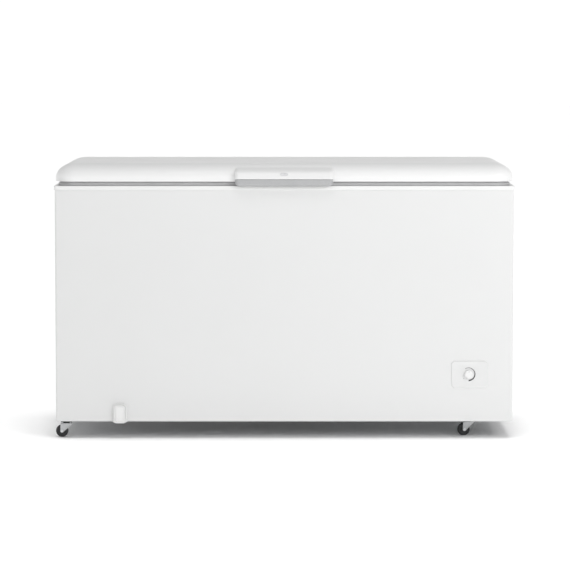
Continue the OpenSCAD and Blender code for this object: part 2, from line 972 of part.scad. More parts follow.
module hinge_cover(s) {
    x = s * hinge_x;
    y0 = half_d + clear;
    y1 = grip_y;
    yt = half_d + frame_over + clear;
    color(white)
        difference() {
            union() {
                block([x - 38, y0, 764], [x + 38, y1, seam_z - 1]);
                block([x - 38, yt, seam_z - 2], [x + 38, y1, 873]);
            }
            block([x - 36, y0 - 1, 766], [x + 36, y1 - 2, 875]);
        }
}

module hinge_cover_left() {
    hinge_cover(-1);
}

module hinge_cover_right() {
    hinge_cover(1);
}

module hinge_arm(s) {
    x = s * hinge_x;
    y0 = half_d + clear;
    color(steel)
        difference() {
            union() {
                block([x - 26, y0, 880], [x + 26, y0 + 3, 899]);
                block([x - 36, y0, 898], [x + 36, y0 + 3, 911]);
                block([x - 13, y0 + 1, 881], [x + 13, pivot_y, 889]);
                bar_x(pivot_y, pivot_z, 7.2, x - 13, x + 13);
            }
            bar_x(pivot_y, pivot_z, pin_r + 0.06, x - 40, x + 40);
            for (p = arm_holes)
                bar_y(x + p[0], p[1], 2.7, y0 - 1, y0 + 4);
        }
}

module hinge_arm_left() {
    hinge_arm(-1);
}

module hinge_arm_right() {
    hinge_arm(1);
}

// flanged screw along Y with its head at the back
module rear_screw(x, z, seat, head_r, shank_r, length) {
    bar_y(x, z, head_r, seat, seat + 3);
    bar_y(x, z, shank_r, seat - length, seat + 1);
}

module cabinet_screws() {
    color(steel) {
        for (s = [-1, 1], p = hinge_holes)
            rear_screw(s * hinge_x + p[0], p[1], half_d + clear + 3.1, 4.5, 2.4, 20);
        for (p = grille_holes)
            rear_screw(p[0], p[1], half_d - sheet_t + gap + 3.1, 3.6, 2, 10);
    }
}

module lid_screws() {
    color(steel)
        for (s = [-1, 1], p = arm_holes)
            rear_screw(s * hinge_x + p[0], p[1], half_d + clear + 3.1, 4.2, 2.4, 20);
}

// ---------- lid ----------

module arm_screw_holes(r) {
    for (s = [-1, 1], p = arm_holes)
        bar_y(s * hinge_x + p[0], p[1], r, half_d - 20, half_d + 10);
}

module lid_shell() {
    rim = 12;
    color(white)
        difference() {
            lid_solid(0, lid_z);
            lid_solid(shell_t, lid_z + shell_t);
            round_plate(body_w - 2 * rim, body_d - 2 * rim, lid_corner - rim, lid_z - 1, 4);
            arm_screw_holes(2.6);
        }
}

module lid_foam() {
    color(cream)
        difference() {
            union() {
                lid_solid(shell_t + clear, lid_z + 2.3);
                round_plate(body_w - 2 * plug_in - 4.6, body_d - 2 * plug_in - 4.6, 23,
                    plug_z + 2.3, lid_z - plug_z + 5);
            }
            arm_screw_holes(2.6);
        }
}

module lid_liner() {
    edge = 12.3;
    color(white)
        difference() {
            union() {
                round_plate(body_w - 2 * edge, body_d - 2 * edge, lid_corner - edge, lid_z, 2);
                round_plate(body_w - 2 * plug_in, body_d - 2 * plug_in, 26, plug_z, lid_z - plug_z + 1);
            }
            round_plate(body_w - 2 * plug_in - 4, body_d - 2 * plug_in - 4, 24, plug_z + 2, 60);
        }
}

module lid_gasket() {
    low = frame_top + clear;
    high = lid_z - clear;
    color(grey)
        difference() {
            union() {
                round_plate(body_w - 20, body_d - 20, 60, low, 8.5);
                round_plate(body_w - 27, body_d - 27, 56, low + 8, high - low - 8);
            }
            round_plate(body_w - 50, body_d - 50, 45, low + 8.5, high - low);
            round_plate(body_w - 56, body_d - 56, 42, low - 1, 20);
        }
}

// plan outline of the handle, of width w, with its ends curving back to the lid
module handle_plan(w) {
    r = 14;
    y1 = -half_d + 60;
    translate([r - w / 2, -grip_y])
        square([w - 2 * r, y1 + grip_y]);
    translate([-w / 2, r - grip_y])
        square([w, y1 + grip_y - r]);
    for (s = [-1, 1])
        translate([s * (w / 2 - r), r - grip_y])
            circle(r);
}

module handle_housing() {
    e = 0.4;
    low = grip_top;
    high = 937;
    steps = 10;
    section = concat(
        [[lid_face(low) + e, low], [grip_y - 4, low], [grip_y - 1.6, low + 1], face_foot],
        [face_head, [grip_y - 19.5, 928], [grip_y - 29, 932.6]],
        [for (i = [0:steps]) let (z = high - i * (high - low - 2) / steps) [lid_face(z) + e, z]]
    );
    r = 10;
    side = [for (a = [0:15:90]) [grip_w / 2 - r + r * cos(a), high - r - 1 + r * sin(a)]];
    color(white)
        intersection() {
            mirror([0, 1, 0])
                along_x(-grip_w / 2, grip_w / 2)
                    polygon(section);
            along_y(-grip_y - 10, -half_d + 60)
                polygon(concat(
                    [[grip_w / 2, low - 1]],
                    side,
                    [for (i = [len(side) - 1:-1:0]) [-side[i][0], side[i][1]]],
                    [[-grip_w / 2, low - 1]]
                ));
            translate([0, 0, low - 1])
                linear_extrude(high - low + 10)
                    handle_plan(grip_w);
        }
}

module handle_grip() {
    top = grip_top - clear;
    r = 14;
    section = [
        [352, top], [371.4, top], [grip_y, top - 4], [grip_y, 884], [372.2, 879], [370, 875.6],
        [367, grip_z], [364.6, 875], [364.2, 877.5], [365.4, 880], [366, 884], [366, top - 3], [352, top - 3]
    ];
    side = [for (a = [0:15:90]) [grip_w / 2 - 1.5 - r + r * cos(a), grip_z + r - r * sin(a)]];
    color(grey)
        intersection() {
            mirror([0, 1, 0])
                along_x(-grip_w / 2, grip_w / 2)
                    polygon(section);
            along_y(-grip_y - 10, -half_d + 20)
                polygon(concat(
                    [[grip_w / 2, top + 1]],
                    side,
                    [for (i = [len(side) - 1:-1:0]) [-side[i][0], side[i][1]]],
                    [[-grip_w / 2, top + 1]]
                ));
            translate([0, 0, grip_z - 1])
                linear_extrude(top - grip_z + 2)
                    handle_plan(grip_w - 1);
        }
}

module badge_plate() {
    face = face_head - face_foot;
    centre = face_foot + badge_at * face;
    tilt = atan2(-face[0], face[1]);
    color(steel)
        translate([0, -centre[0], centre[1]])
            rotate([-tilt, 0, 0])
                translate([0, -clear, 0])
                    rotate([90, 0, 0])
                        linear_extrude(1)
                            union() {
                                square([16, 11], center = true);
                                for (sx = [-1, 1])
                                    translate([sx * 8, 0])
                                        circle(5.5);
                            }
}

// ---------- casters ----------

module caster_plates() {
    color(dark)
        for (c = casters)
            translate([c[0], c[1], 0]) {
                difference() {
                    translate([-19, -19, plate_top - plate_t])
                        cube([38, 38, plate_t]);
                    for (sx = [-1, 1], sy = [-1, 1])
                        translate([sx * caster_hole, sy * caster_hole, plate_top - plate_t - 1])
                            cylinder(h = plate_t + 2, r = 2.2, $fn = 24);
                }
                translate([0, 0, fork_top + 0.4])
                    cylinder(h = race_h + 0.5, r = 12);
                translate([0, 0, fork_top - fork_t - 3])
                    cylinder(h = fork_t + 4, r = 3.5, $fn = 24);
                translate([0, 0, fork_top - fork_t - 3])
                    cylinder(h = 2.6, r = 6, $fn = 24);
            }
}

module caster_screws() {
    color(steel)
        at_caster_holes() {
            translate([0, 0, plate_top - plate_t - 2.1])
                cylinder(h = 2, r = 3.4, $fn = 24);
            translate([0, 0, plate_top - plate_t - 1])
                cylinder(h = plate_t + 7, r = 2, $fn = 24);
        }
}

module fork(c) {
    color(steel)
        at_caster(c)
            difference() {
                union() {
                    translate([-19, -12, fork_top - fork_t])
                        cube([39.5, 24, fork_t]);
                    for (s = [-1, 1])
                        along_y_at(s * 11.1, fork_t)
                            union() {
                                polygon([[-19, fork_top], [-19, fork_top - 3], [trail - 5, wheel_r - 4],
                                    [trail + 6, wheel_r], [20.5, fork_top]]);
                                translate([trail, wheel_r])
                                    circle(6);
                            }
                }
                translate([0, 0, fork_top - 10])
                    cylinder(h = 20, r = 3.6, $fn = 24);
                bar_y(trail, wheel_r, axle_r + 0.05, -20, 20);
            }
}

// outline drawn in X and Z, of thickness t, centred at y
module along_y_at(y, t) {
    along_y(y - t / 2, y + t / 2)
        children();
}

module wheel(c) {
    h = wheel_w / 2;
    color(dark)
        at_caster(c)
            translate([trail, 0, wheel_r])
                rotate([90, 0, 0])
                    rotate_extrude($fn = 64)
                        polygon([
                            [axle_r + 0.06, -h - 0.8], [6, -h - 0.8], [7, 1.5 - h], [14, 1.5 - h], [15, -h],
                            [19, -h], [20.8, 1.2 - h], [wheel_r, 3.5 - h], [wheel_r, h - 3.5],
                            [20.8, h - 1.2], [19, h], [15, h], [14, h - 1.5], [7, h - 1.5], [6, h + 0.8],
                            [axle_r + 0.06, h + 0.8]
                        ]);
}

module axle(c) {
    color(steel)
        at_caster(c) {
            bar_y(trail, wheel_r, axle_r, -13.5, 13.5);
            bar_y(trail, wheel_r, axle_r + 1.8, 12.1, 14.6);
            bar_y(trail, wheel_r, axle_r + 1.8, -14.6, -12.1);
        }
}

module fork_front_left() {
    fork(front_left);
}

module fork_front_right() {
    fork(front_right);
}

module fork_rear_left() {
    fork(rear_left);
}

module fork_rear_right() {
    fork(rear_right);
}

module wheel_front_left() {
    wheel(front_left);
}

module wheel_front_right() {
    wheel(front_right);
}

module wheel_rear_left() {
    wheel(rear_left);
}

module wheel_rear_right() {
    wheel(rear_right);
}

module axle_front_left() {
    axle(front_left);
}

module axle_front_right() {
    axle(front_right);
}

module axle_rear_left() {
    axle(rear_left);
}

module axle_rear_right() {
    axle(rear_right);
}

// ---------- basket ----------

// rectangle of wire lying flat, with ball corners
module wire_ring(x0, x1, y, z, r) {
    for (s = [-1, 1]) {
        rod([x0, s * y, z], [x1, s * y, z], r);
        rod([s > 0 ? x1 : x0, -y, z], [s > 0 ? x1 : x0, y, z], r);
        translate([x0, s * y, z])
            sphere(r + 0.1);
        translate([x1, s * y, z])
            sphere(r + 0.1);
    }
}

module basket() {
    x0 = basket_x + 6;
    x1 = basket_x + basket_l - 6;
    y = basket_y;
    lap = 1.5 * wire_r;
    nx = 4;
    ny = 6;
    color(white) {
        for (s = [-1, 1])
            rod([basket_x, s * hang_y, basket_top], [basket_x + basket_l, s * hang_y, basket_top], hang_r);
        for (x = [x0, x1])
            rod([x, -hang_y - 1, basket_top + 2.5], [x, hang_y + 1, basket_top + 2.5], hang_r);
        for (z = [basket_top - 1.5, (basket_top + basket_low) / 2])
            wire_ring(x0 + lap, x1 - lap, y - lap, z, wire_r);
        for (i = [0:nx])
            pipe([
                [x0 + i * (x1 - x0) / nx, -y, basket_top + 1],
                [x0 + i * (x1 - x0) / nx, -y, basket_low],
                [x0 + i * (x1 - x0) / nx, y, basket_low],
                [x0 + i * (x1 - x0) / nx, y, basket_top + 1]
            ], wire_r);
        for (j = [1:ny - 1])
            pipe([
                [x0, -y + j * 2 * y / ny, basket_top + 1],
                [x0, -y + j * 2 * y / ny, basket_low + lap],
                [x1, -y + j * 2 * y / ny, basket_low + lap],
                [x1, -y + j * 2 * y / ny, basket_top + 1]
            ], wire_r);
    }
}

// ---------- assembly ----------

front_panel();
left_side_panel();
right_side_panel();
rear_panel();
bottom_panel();
cabinet_foam();
inner_liner();
top_frame();
basket_rail();
evaporator_coil();
condenser_coil();
compressor_base();
compressor();
compressor_grommets();
compressor_bolts();
relay_cover();
filter_drier();
refrigerant_pipes();
thermostat_body();
control_bezel();
rear_grille();
drain_housing();
drain_tube();
cable_gland();
hinge_base_left();
hinge_base_right();
hinge_pins();
hinge_springs();
hinge_cover_left();
hinge_cover_right();
cabinet_screws();
caster_plates();
caster_screws();
lid_shell();
lid_foam();
lid_liner();
lid_gasket();
handle_housing();
handle_grip();
badge_plate();
hinge_arm_left();
hinge_arm_right();
lid_screws();
thermostat_knob();
drain_cap();
drain_plug();
basket();
fork_front_left();
fork_front_right();
fork_rear_left();
fork_rear_right();
wheel_front_left();
wheel_front_right();
wheel_rear_left();
wheel_rear_right();
axle_front_left();
axle_front_right();
axle_rear_left();
axle_rear_right();
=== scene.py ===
import json
import math

import bmesh
import bpy
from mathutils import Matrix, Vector


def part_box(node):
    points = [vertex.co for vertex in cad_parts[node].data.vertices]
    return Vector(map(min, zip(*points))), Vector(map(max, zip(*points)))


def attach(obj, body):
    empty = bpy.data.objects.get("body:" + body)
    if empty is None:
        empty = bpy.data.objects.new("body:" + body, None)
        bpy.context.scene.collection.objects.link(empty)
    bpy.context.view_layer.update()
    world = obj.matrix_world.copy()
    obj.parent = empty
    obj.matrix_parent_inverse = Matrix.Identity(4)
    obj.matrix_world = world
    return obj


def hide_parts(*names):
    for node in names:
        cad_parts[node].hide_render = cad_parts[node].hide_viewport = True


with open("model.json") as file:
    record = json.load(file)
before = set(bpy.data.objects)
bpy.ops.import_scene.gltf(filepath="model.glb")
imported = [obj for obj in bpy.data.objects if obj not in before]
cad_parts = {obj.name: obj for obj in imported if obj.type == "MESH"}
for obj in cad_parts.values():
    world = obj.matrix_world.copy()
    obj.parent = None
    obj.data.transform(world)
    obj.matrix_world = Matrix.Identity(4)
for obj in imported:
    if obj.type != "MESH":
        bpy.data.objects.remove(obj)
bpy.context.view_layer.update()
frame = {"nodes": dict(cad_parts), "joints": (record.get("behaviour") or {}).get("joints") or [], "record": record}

NODES = frame["nodes"]
MM = 0.001


# ---------------------------------------------------------------- materials

class Mat:
    """A Principled material with procedural colour, roughness and relief."""

    def __init__(self, name, rough=0.5, metallic=0.0, specular=0.5, coat=0.0, coat_rough=0.1):
        self.mat = bpy.data.materials.new(name)
        self.mat.use_nodes = True
        self.tree = self.mat.node_tree
        self.bsdf = self.tree.nodes["Principled BSDF"]
        self.bsdf.inputs["Roughness"].default_value = rough
        self.bsdf.inputs["Metallic"].default_value = metallic
        self.bsdf.inputs["Specular IOR Level"].default_value = specular
        self.bsdf.inputs["Coat Weight"].default_value = coat
        self.bsdf.inputs["Coat Roughness"].default_value = coat_rough
        self.coord = self.tree.nodes.new("ShaderNodeTexCoord")
        self.last_bump = None

    def node(self, kind, **props):
        made = self.tree.nodes.new(kind)
        for key, value in props.items():
            setattr(made, key, value)
        return made

    def link(self, a, b):
        self.tree.links.new(a, b)

    def coords(self, stretch=(1, 1, 1)):
        mapping = self.node("ShaderNodeMapping")
        mapping.inputs["Scale"].default_value = stretch
        self.link(self.coord.outputs["Object"], mapping.inputs["Vector"])
        return mapping.outputs["Vector"]

    def noise(self, scale, detail=3.0, rough=0.55, stretch=(1, 1, 1)):
        tex = self.node("ShaderNodeTexNoise")
        tex.inputs["Scale"].default_value = scale
        tex.inputs["Detail"].default_value = detail
        tex.inputs["Roughness"].default_value = rough
        self.link(self.coords(stretch), tex.inputs["Vector"])
        return tex.outputs["Fac"]

    def voronoi(self, scale, feature="F1", out="Distance", smooth=0.5):
        tex = self.node("ShaderNodeTexVoronoi", feature=feature)
        tex.inputs["Scale"].default_value = scale
        if feature == "SMOOTH_F1":
            tex.inputs["Smoothness"].default_value = smooth
        self.link(self.coords(), tex.inputs["Vector"])
        return tex.outputs[out]

    def ramp(self, fac, stops):
        ramp = self.node("ShaderNodeValToRGB")
        elements = ramp.color_ramp.elements
        while len(elements) < len(stops):
            elements.new(0.5)
        for element, (place, colour) in zip(elements, stops):
            element.position = place
            element.color = (*colour, 1.0)
        self.link(fac, ramp.inputs["Fac"])
        return ramp.outputs["Color"]

    def remap(self, fac, low, high, a, b):
        node = self.node("ShaderNodeMapRange")
        for key, value in zip(("From Min", "From Max", "To Min", "To Max"), (low, high, a, b)):
            node.inputs[key].default_value = value
        self.link(fac, node.inputs["Value"])
        return node.outputs["Result"]

    def mix(self, fac, a, b, mode="MIX"):
        node = self.node("ShaderNodeMix", data_type="RGBA", blend_type=mode)
        if isinstance(fac, float):
            node.inputs[0].default_value = fac
        else:
            self.link(fac, node.inputs[0])
        for socket, value in ((node.inputs[6], a), (node.inputs[7], b)):
            if isinstance(value, tuple):
                socket.default_value = (*value, 1.0)
            else:
                self.link(value, socket)
        return node.outputs[2]

    def colour(self, source):
        if isinstance(source, tuple):
            self.bsdf.inputs["Base Color"].default_value = (*source, 1.0)
        else:
            self.link(source, self.bsdf.inputs["Base Color"])

    def roughness(self, source):
        self.link(source, self.bsdf.inputs["Roughness"])

    def bump(self, height, strength=0.2, distance=0.0005):
        node = self.node("ShaderNodeBump")
        node.inputs["Strength"].default_value = strength
        node.inputs["Distance"].default_value = distance
        self.link(height, node.inputs["Height"])
        if self.last_bump is not None:
            self.link(self.last_bump, node.inputs["Normal"])
        self.last_bump = node.outputs["Normal"]
        self.link(self.last_bump, self.bsdf.inputs["Normal"])


def scaled(colour, k):
    return tuple(min(c * k, 1.0) for c in colour)


def plain_variation(m, colour, spread, scale, detail=4.0, stretch=(1, 1, 1)):
    """Soft tone variation round one colour."""
    fac = m.noise(scale, detail, stretch=stretch)
    m.colour(m.ramp(fac, [(0.3, scaled(colour, 1 - spread)), (0.7, scaled(colour, 1 + spread))]))


def enamel(name, colour, rough, spread=0.006, peel=0.05, coat=0.0):
    """Baked enamel on sheet steel: orange peel, slow waviness, faint tone drift."""
    m = Mat(name, rough=rough, specular=0.4, coat=coat, coat_rough=0.18)
    plain_variation(m, colour, spread, 2.2, 5.0)
    m.roughness(m.remap(m.noise(7, 4.0), 0.3, 0.7, rough - 0.05, rough + 0.06))
    m.bump(m.noise(5.5, 2.0), 0.12, 0.0012)
    m.bump(m.noise(620, 2.0), peel, 0.0002)
    return m.mat


def moulded(name, colour, rough, grain=900, relief=0.12, spread=0.015, specular=0.45):
    """Injection moulded plastic: fine spark-eroded grain and faint flow marks."""
    m = Mat(name, rough=rough, specular=specular)
    plain_variation(m, colour, spread, 9, stretch=(1, 1, 3))
    m.roughness(m.remap(m.noise(38, 4.0), 0.3, 0.7, rough - 0.06, rough + 0.06))
    m.bump(m.noise(grain, 3.0, 0.6), relief, 0.00012)
    m.bump(m.noise(24, 2.0), 0.06, 0.0004)
    return m.mat


def leather_grain(name, colour, rough):
    """Grip plastic with a pebbled grain."""
    m = Mat(name, rough=rough, specular=0.4)
    cells = m.voronoi(520, "SMOOTH_F1", smooth=0.6)
    base = m.noise(14, 4.0)
    tone = m.ramp(base, [(0.3, scaled(colour, 0.97)), (0.7, scaled(colour, 1.03))])
    shade = m.ramp(cells, [(0.1, (1, 1, 1)), (0.75, (0.86, 0.86, 0.86))])
    m.colour(m.mix(0.6, tone, shade, "MULTIPLY"))
    m.roughness(m.remap(cells, 0.1, 0.7, rough - 0.07, rough + 0.1))
    m.bump(cells, 0.25, 0.00018)
    return m.mat


def vinyl(name, colour, rough=0.6):
    """Soft gasket vinyl, slightly dusty and matt."""
    m = Mat(name, rough=rough, specular=0.35)
    plain_variation(m, colour, 0.04, 30, 5.0)
    m.roughness(m.remap(m.noise(60, 4.0), 0.3, 0.7, rough - 0.08, rough + 0.1))
    m.bump(m.noise(300, 3.0), 0.15, 0.0002)
    m.bump(m.noise(9, 2.0), 0.15, 0.0008)
    return m.mat


def galvanised(name, colour=(0.56, 0.57, 0.58), rough=0.42, size=95):
    """Zinc-coated steel with spangle and rolling marks."""
    m = Mat(name, rough=rough, metallic=0.85)
    cells = m.voronoi(size, out="Color")
    tone = m.ramp(cells, [(0.1, scaled(colour, 0.86)), (0.9, scaled(colour, 1.1))])
    stain = m.remap(m.noise(14, 6.0), 0.45, 0.8, 0.0, 0.35)
    m.colour(m.mix(stain, tone, scaled(colour, 0.72)))
    m.roughness(m.remap(cells, 0.0, 1.0, rough - 0.1, rough + 0.14))
    m.bump(m.noise(500, 2.0, stretch=(1, 0.05, 1)), 0.1, 0.0001)
    return m.mat


def plated(name, colour=(0.62, 0.63, 0.64), rough=0.3):
    """Bright zinc plating on small hardware, with fine scratches."""
    m = Mat(name, rough=rough, metallic=0.95)
    plain_variation(m, colour, 0.06, 120, 5.0)
    m.roughness(m.remap(m.noise(260, 4.0, stretch=(1, 1, 0.2)), 0.3, 0.7, rough - 0.1, rough + 0.15))
    m.bump(m.noise(900, 2.0, stretch=(1, 1, 0.15)), 0.12, 0.00008)
    return m.mat


def stucco(name, colour=(0.78, 0.79, 0.8)):
    """Stucco-embossed aluminium of the tub."""
    m = Mat(name, rough=0.36, metallic=0.75)
    cells = m.voronoi(120, "SMOOTH_F1", smooth=0.9)
    plain_variation(m, colour, 0.03, 18, 5.0)
    m.roughness(m.remap(m.noise(40, 4.0), 0.3, 0.7, 0.3, 0.46))
    m.bump(cells, 0.55, 0.0012)
    m.bump(m.noise(4, 2.0), 0.1, 0.002)
    return m.mat


def rubber(name, colour=(0.022, 0.022, 0.023), rough=0.55, dust=0.3):
    """Black rubber or hard tyre with a little floor dust in it."""
    m = Mat(name, rough=rough, specular=0.4)
    base = m.ramp(m.noise(60, 4.0), [(0.3, scaled(colour, 0.8)), (0.7, scaled(colour, 1.25))])
    mask = m.remap(m.noise(140, 6.0), 0.5, 0.8, 0.0, dust)
    m.colour(m.mix(mask, base, (0.13, 0.125, 0.12)))
    m.roughness(m.remap(m.noise(110, 5.0), 0.3, 0.7, rough - 0.12, rough + 0.15))
    m.bump(m.noise(700, 3.0), 0.15, 0.00015)
    return m.mat


def copper_tube(name):
    m = Mat(name, rough=0.32, metallic=1.0)
    fresh = m.ramp(m.noise(30, 5.0), [(0.3, (0.62, 0.3, 0.17)), (0.7, (0.78, 0.42, 0.27))])
    stain = m.remap(m.noise(70, 6.0), 0.5, 0.8, 0.0, 0.6)
    m.colour(m.mix(stain, fresh, (0.22, 0.13, 0.09)))
    m.roughness(m.remap(m.noise(90, 4.0), 0.3, 0.7, 0.25, 0.5))
    m.bump(m.noise(500, 2.0), 0.1, 0.0001)
    return m.mat


def foam_skin(name):
    m = Mat(name, rough=0.85, specular=0.2)
    cells = m.voronoi(420, "F1")
    m.colour(m.ramp(m.noise(20, 5.0), [(0.3, (0.62, 0.5, 0.26)), (0.7, (0.74, 0.63, 0.38))]))
    m.bump(cells, 0.4, 0.0005)
    return m.mat


def printed(name, dark, light):
    """Printed ink that thins out upwards."""
    m = Mat(name, rough=0.45, specular=0.3)
    split = m.node("ShaderNodeSeparateXYZ")
    m.link(m.coord.outputs["Object"], split.inputs[0])
    height = m.remap(split.outputs["Z"], *INK_HEIGHTS, 0.0, 1.0)
    tone = m.ramp(height, [(0.0, dark), (0.45, scaled(dark, 1.6)), (1.0, light)])
    mottle = m.ramp(m.noise(900, 3.0), [(0.3, (0.92, 0.92, 0.92)), (0.7, (1, 1, 1))])
    m.colour(m.mix(1.0, tone, mottle, "MULTIPLY"))
    m.bump(m.noise(1500, 2.0), 0.05, 0.00005)
    return m.mat


def floor_material():
    m = Mat("floor_pale", rough=0.7, specular=0.1)
    m.colour(m.ramp(m.noise(3, 3.0), [(0.3, (0.93, 0.93, 0.93)), (0.7, (0.95, 0.95, 0.95))]))
    m.bump(m.noise(40, 3.0), 0.03, 0.0005)
    return m.mat


# Cabinet and lid wear one white enamel, but the cabinet's tone is set darker as painted shade on its front and the
# lid's lighter as painted light on its top.
CABINET_PAINT_SHADED = (0.69, 0.693, 0.691)
INK_HEIGHTS = (0.205, 0.247)  # metres above the floor, from dark to light
M_BODY = enamel("body_enamel", CABINET_PAINT_SHADED, 0.36)
M_LID = enamel("lid_enamel", (0.785, 0.787, 0.785), 0.38, peel=0.04)
M_TRIM = moulded("white_moulding", (0.755, 0.757, 0.753), 0.4)
# The control panel takes the cabinet's darkened tone, so the painted shade carries over to it.
M_BEZEL = moulded("control_moulding", CABINET_PAINT_SHADED, 0.42, grain=1100, relief=0.08)
M_LINER_PLASTIC = moulded("lid_liner_sheet", (0.76, 0.762, 0.76), 0.4, grain=900, relief=0.08)
M_GRIP = leather_grain("grip_grey", (0.42, 0.425, 0.43), 0.48)
M_GASKET = vinyl("gasket_vinyl", (0.5, 0.5, 0.505))
M_GREY = moulded("grey_moulding", (0.42, 0.43, 0.44), 0.45)
M_BLACK = moulded("black_moulding", (0.028, 0.028, 0.03), 0.5, spread=0.15)
M_ZINC = galvanised("galvanised_steel")
M_BRIGHT = plated("bright_plating")
M_FORK = plated("caster_plating", (0.5, 0.503, 0.51), 0.42)
M_PLATE = enamel("caster_plate_paint", (0.02, 0.02, 0.021), 0.45, spread=0.15, peel=0.12)
M_SPRING = plated("spring_steel", (0.2, 0.2, 0.21), 0.35)
M_TUB = stucco("tub_aluminium")
M_TYRE = rubber("wheel_rubber")
M_RUBBER = rubber("grommet_rubber", rough=0.7)
M_COPPER = copper_tube("copper_tube")
M_ALU_TUBE = plated("aluminium_tube", (0.7, 0.7, 0.71), 0.4)
M_COMP = enamel("compressor_enamel", (0.018, 0.018, 0.02), 0.3, spread=0.1, coat=0.4)
M_FOAM = foam_skin("foam")
M_WIRE = enamel("wire_coating", (0.78, 0.78, 0.77), 0.35, peel=0.15)
M_BADGE = plated("badge_metal", (0.7, 0.7, 0.71), 0.5)
M_INK = printed("scale_ink", (0.012, 0.012, 0.013), (0.2, 0.2, 0.21))
M_INK_GREY = moulded("mark_ink", (0.33, 0.33, 0.34), 0.5)


# ---------------------------------------------------------------- mesh tools

# welding distances in metres, angles in degrees, flatness in millimetres
WELD_NEW = 1e-6
WELD_CAD = 2e-6
COPLANAR_ANGLE = 0.6
REFINE_ANGLE = 32.0
FLAT_WITHIN = 0.01


def new_object(name, verts, faces, mat):
    mesh = bpy.data.meshes.new(name)
    mesh.from_pydata([tuple(v) for v in verts], [], faces)
    mesh.validate()
    bm = bmesh.new()
    bm.from_mesh(mesh)
    bmesh.ops.remove_doubles(bm, verts=bm.verts, dist=WELD_NEW)
    bmesh.ops.recalc_face_normals(bm, faces=bm.faces)
    bm.to_mesh(mesh)
    bm.free()
    obj = bpy.data.objects.new(name, mesh)
    bpy.context.collection.objects.link(obj)
    mesh.materials.append(mat)
    return obj


def soften(obj, width=0.0, segments=2, *, angle):
    """Smooth shading; edges sharper than angle get a real bevel, or stay sharp if width is 0."""
    mesh = obj.data
    mesh.shade_smooth()
    if width:
        bevel = obj.modifiers.new("bevel", "BEVEL")
        bevel.width = width
        bevel.segments = segments
        bevel.limit_method = "ANGLE"
        bevel.angle_limit = math.radians(angle)
        bevel.harden_normals = True
        bevel.miter_outer = "MITER_ARC"
    else:
        mesh.set_sharp_from_angle(angle=math.radians(angle))


def place(obj, body, nodes, slot):
    """Puts a piece on its body; nodes are the CAD nodes it stands for, if any."""
    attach(obj, body)
    if nodes:
        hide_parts(*nodes)


def refine(node, mat, width=0.0005, segments=2):
    """A smooth-shaded copy of a CAD node, on the same body, bevelled unless width is 0."""
    mesh = NODES[node].data.copy()
    bm = bmesh.new()
    bm.from_mesh(mesh)
    bmesh.ops.remove_doubles(bm, verts=bm.verts, dist=WELD_CAD)
    bmesh.ops.join_triangles(
        bm, faces=bm.faces, angle_face_threshold=math.radians(COPLANAR_ANGLE), angle_shape_threshold=math.pi,
    )
    bm.to_mesh(mesh)
    bm.free()
    mesh.materials.clear()
    mesh.materials.append(mat)
    obj = bpy.data.objects.new(node + "_detailed", mesh)
    bpy.context.collection.objects.link(obj)
    soften(obj, width, segments, angle=REFINE_ANGLE)
    place(obj, BODY_OF[node], [node], SLOT_OF[node])


def loft(name, rings, mat, around=True, along=False, caps=(False, False)):
    """Skin through rings of equal length; around closes each ring, along joins last to first."""
    verts = [v for ring in rings for v in ring]
    n = len(rings[0])
    faces = []
    count = len(rings)
    for i in range(count if along else count - 1):
        a, b = i * n, ((i + 1) % count) * n
        for j in range(n if around else n - 1):
            k = (j + 1) % n
            faces.append((a + j, a + k, b + k, b + j))
    if caps[0]:
        faces.append(tuple(range(n)))
    if caps[1]:
        faces.append(tuple((count - 1) * n + j for j in range(n)))
    return new_object(name, verts, faces, mat)


def rect_ring(half_x, half_y, radius, inset, z, steps):
    """Rounded rectangle at height z, shrunk by inset, in metres from millimetres."""
    e = max(radius, inset)
    r = max(radius - inset, 0.0)
    cx, cy = half_x - e, half_y - e
    points = []
    for sx, sy, start in ((1, 1, 0), (-1, 1, 90), (-1, -1, 180), (1, -1, 270)):
        for i in range(steps + 1):
            a = math.radians(start + 90 * i / steps)
            points.append(Vector((
                (sx * cx + r * math.cos(a)) * MM,
                (sy * cy + r * math.sin(a)) * MM,
                z * MM,
            )))
    return points


def rect_sweep(name, half_x, half_y, radius, profile, mat, steps, inner=None):
    """Closed section carried round a rounded rectangle; profile is (inset, z).

    radius rounds the outside, inner the edge with the largest inset.
    """
    deep = max(e for e, z in profile)
    rings = []
    for e, z in profile:
        corner = deep + inner if inner and e > deep / 2 else radius
        rings.append(rect_ring(half_x, half_y, corner, e, z, steps))
    return loft(name, rings, mat, along=True)


def lathe(name, profile, mat, origin, axis, steps, ripple=None):
    """Surface of revolution; profile is (radius, distance along axis) in mm.

    ripple gives what is added to the radius at an angle, radius and distance.
    """
    axis = Vector(axis).normalized()
    side = axis.orthogonal().normalized()
    other = axis.cross(side)
    rings = []
    for r, h in profile:
        ring = []
        for i in range(steps):
            a = 2 * math.pi * i / steps
            rr = r + (ripple(a, r, h) if ripple else 0.0)
            p = Vector(origin) * MM + axis * h * MM
            ring.append(p + (side * math.cos(a) + other * math.sin(a)) * rr * MM)
        rings.append(ring)
    return loft(name, rings, mat, caps=(profile[0][0] > 0, profile[-1][0] > 0))


def tube_points(points, radius, sides):
    """Rings round a path for loft, in metres from millimetres."""
    pts = [Vector(p) for p in points]
    rings = []
    normal = None
    for i, p in enumerate(pts):
        tangent = (pts[min(i + 1, len(pts) - 1)] - pts[max(i - 1, 0)]).normalized()
        if normal is None:
            normal = tangent.orthogonal().normalized()
        normal = (normal - tangent * normal.dot(tangent)).normalized()
        binormal = tangent.cross(normal)
        rings.append([
            (p + (normal * math.cos(2 * math.pi * j / sides)
                  + binormal * math.sin(2 * math.pi * j / sides)) * radius) * MM
            for j in range(sides)
        ])
    return rings


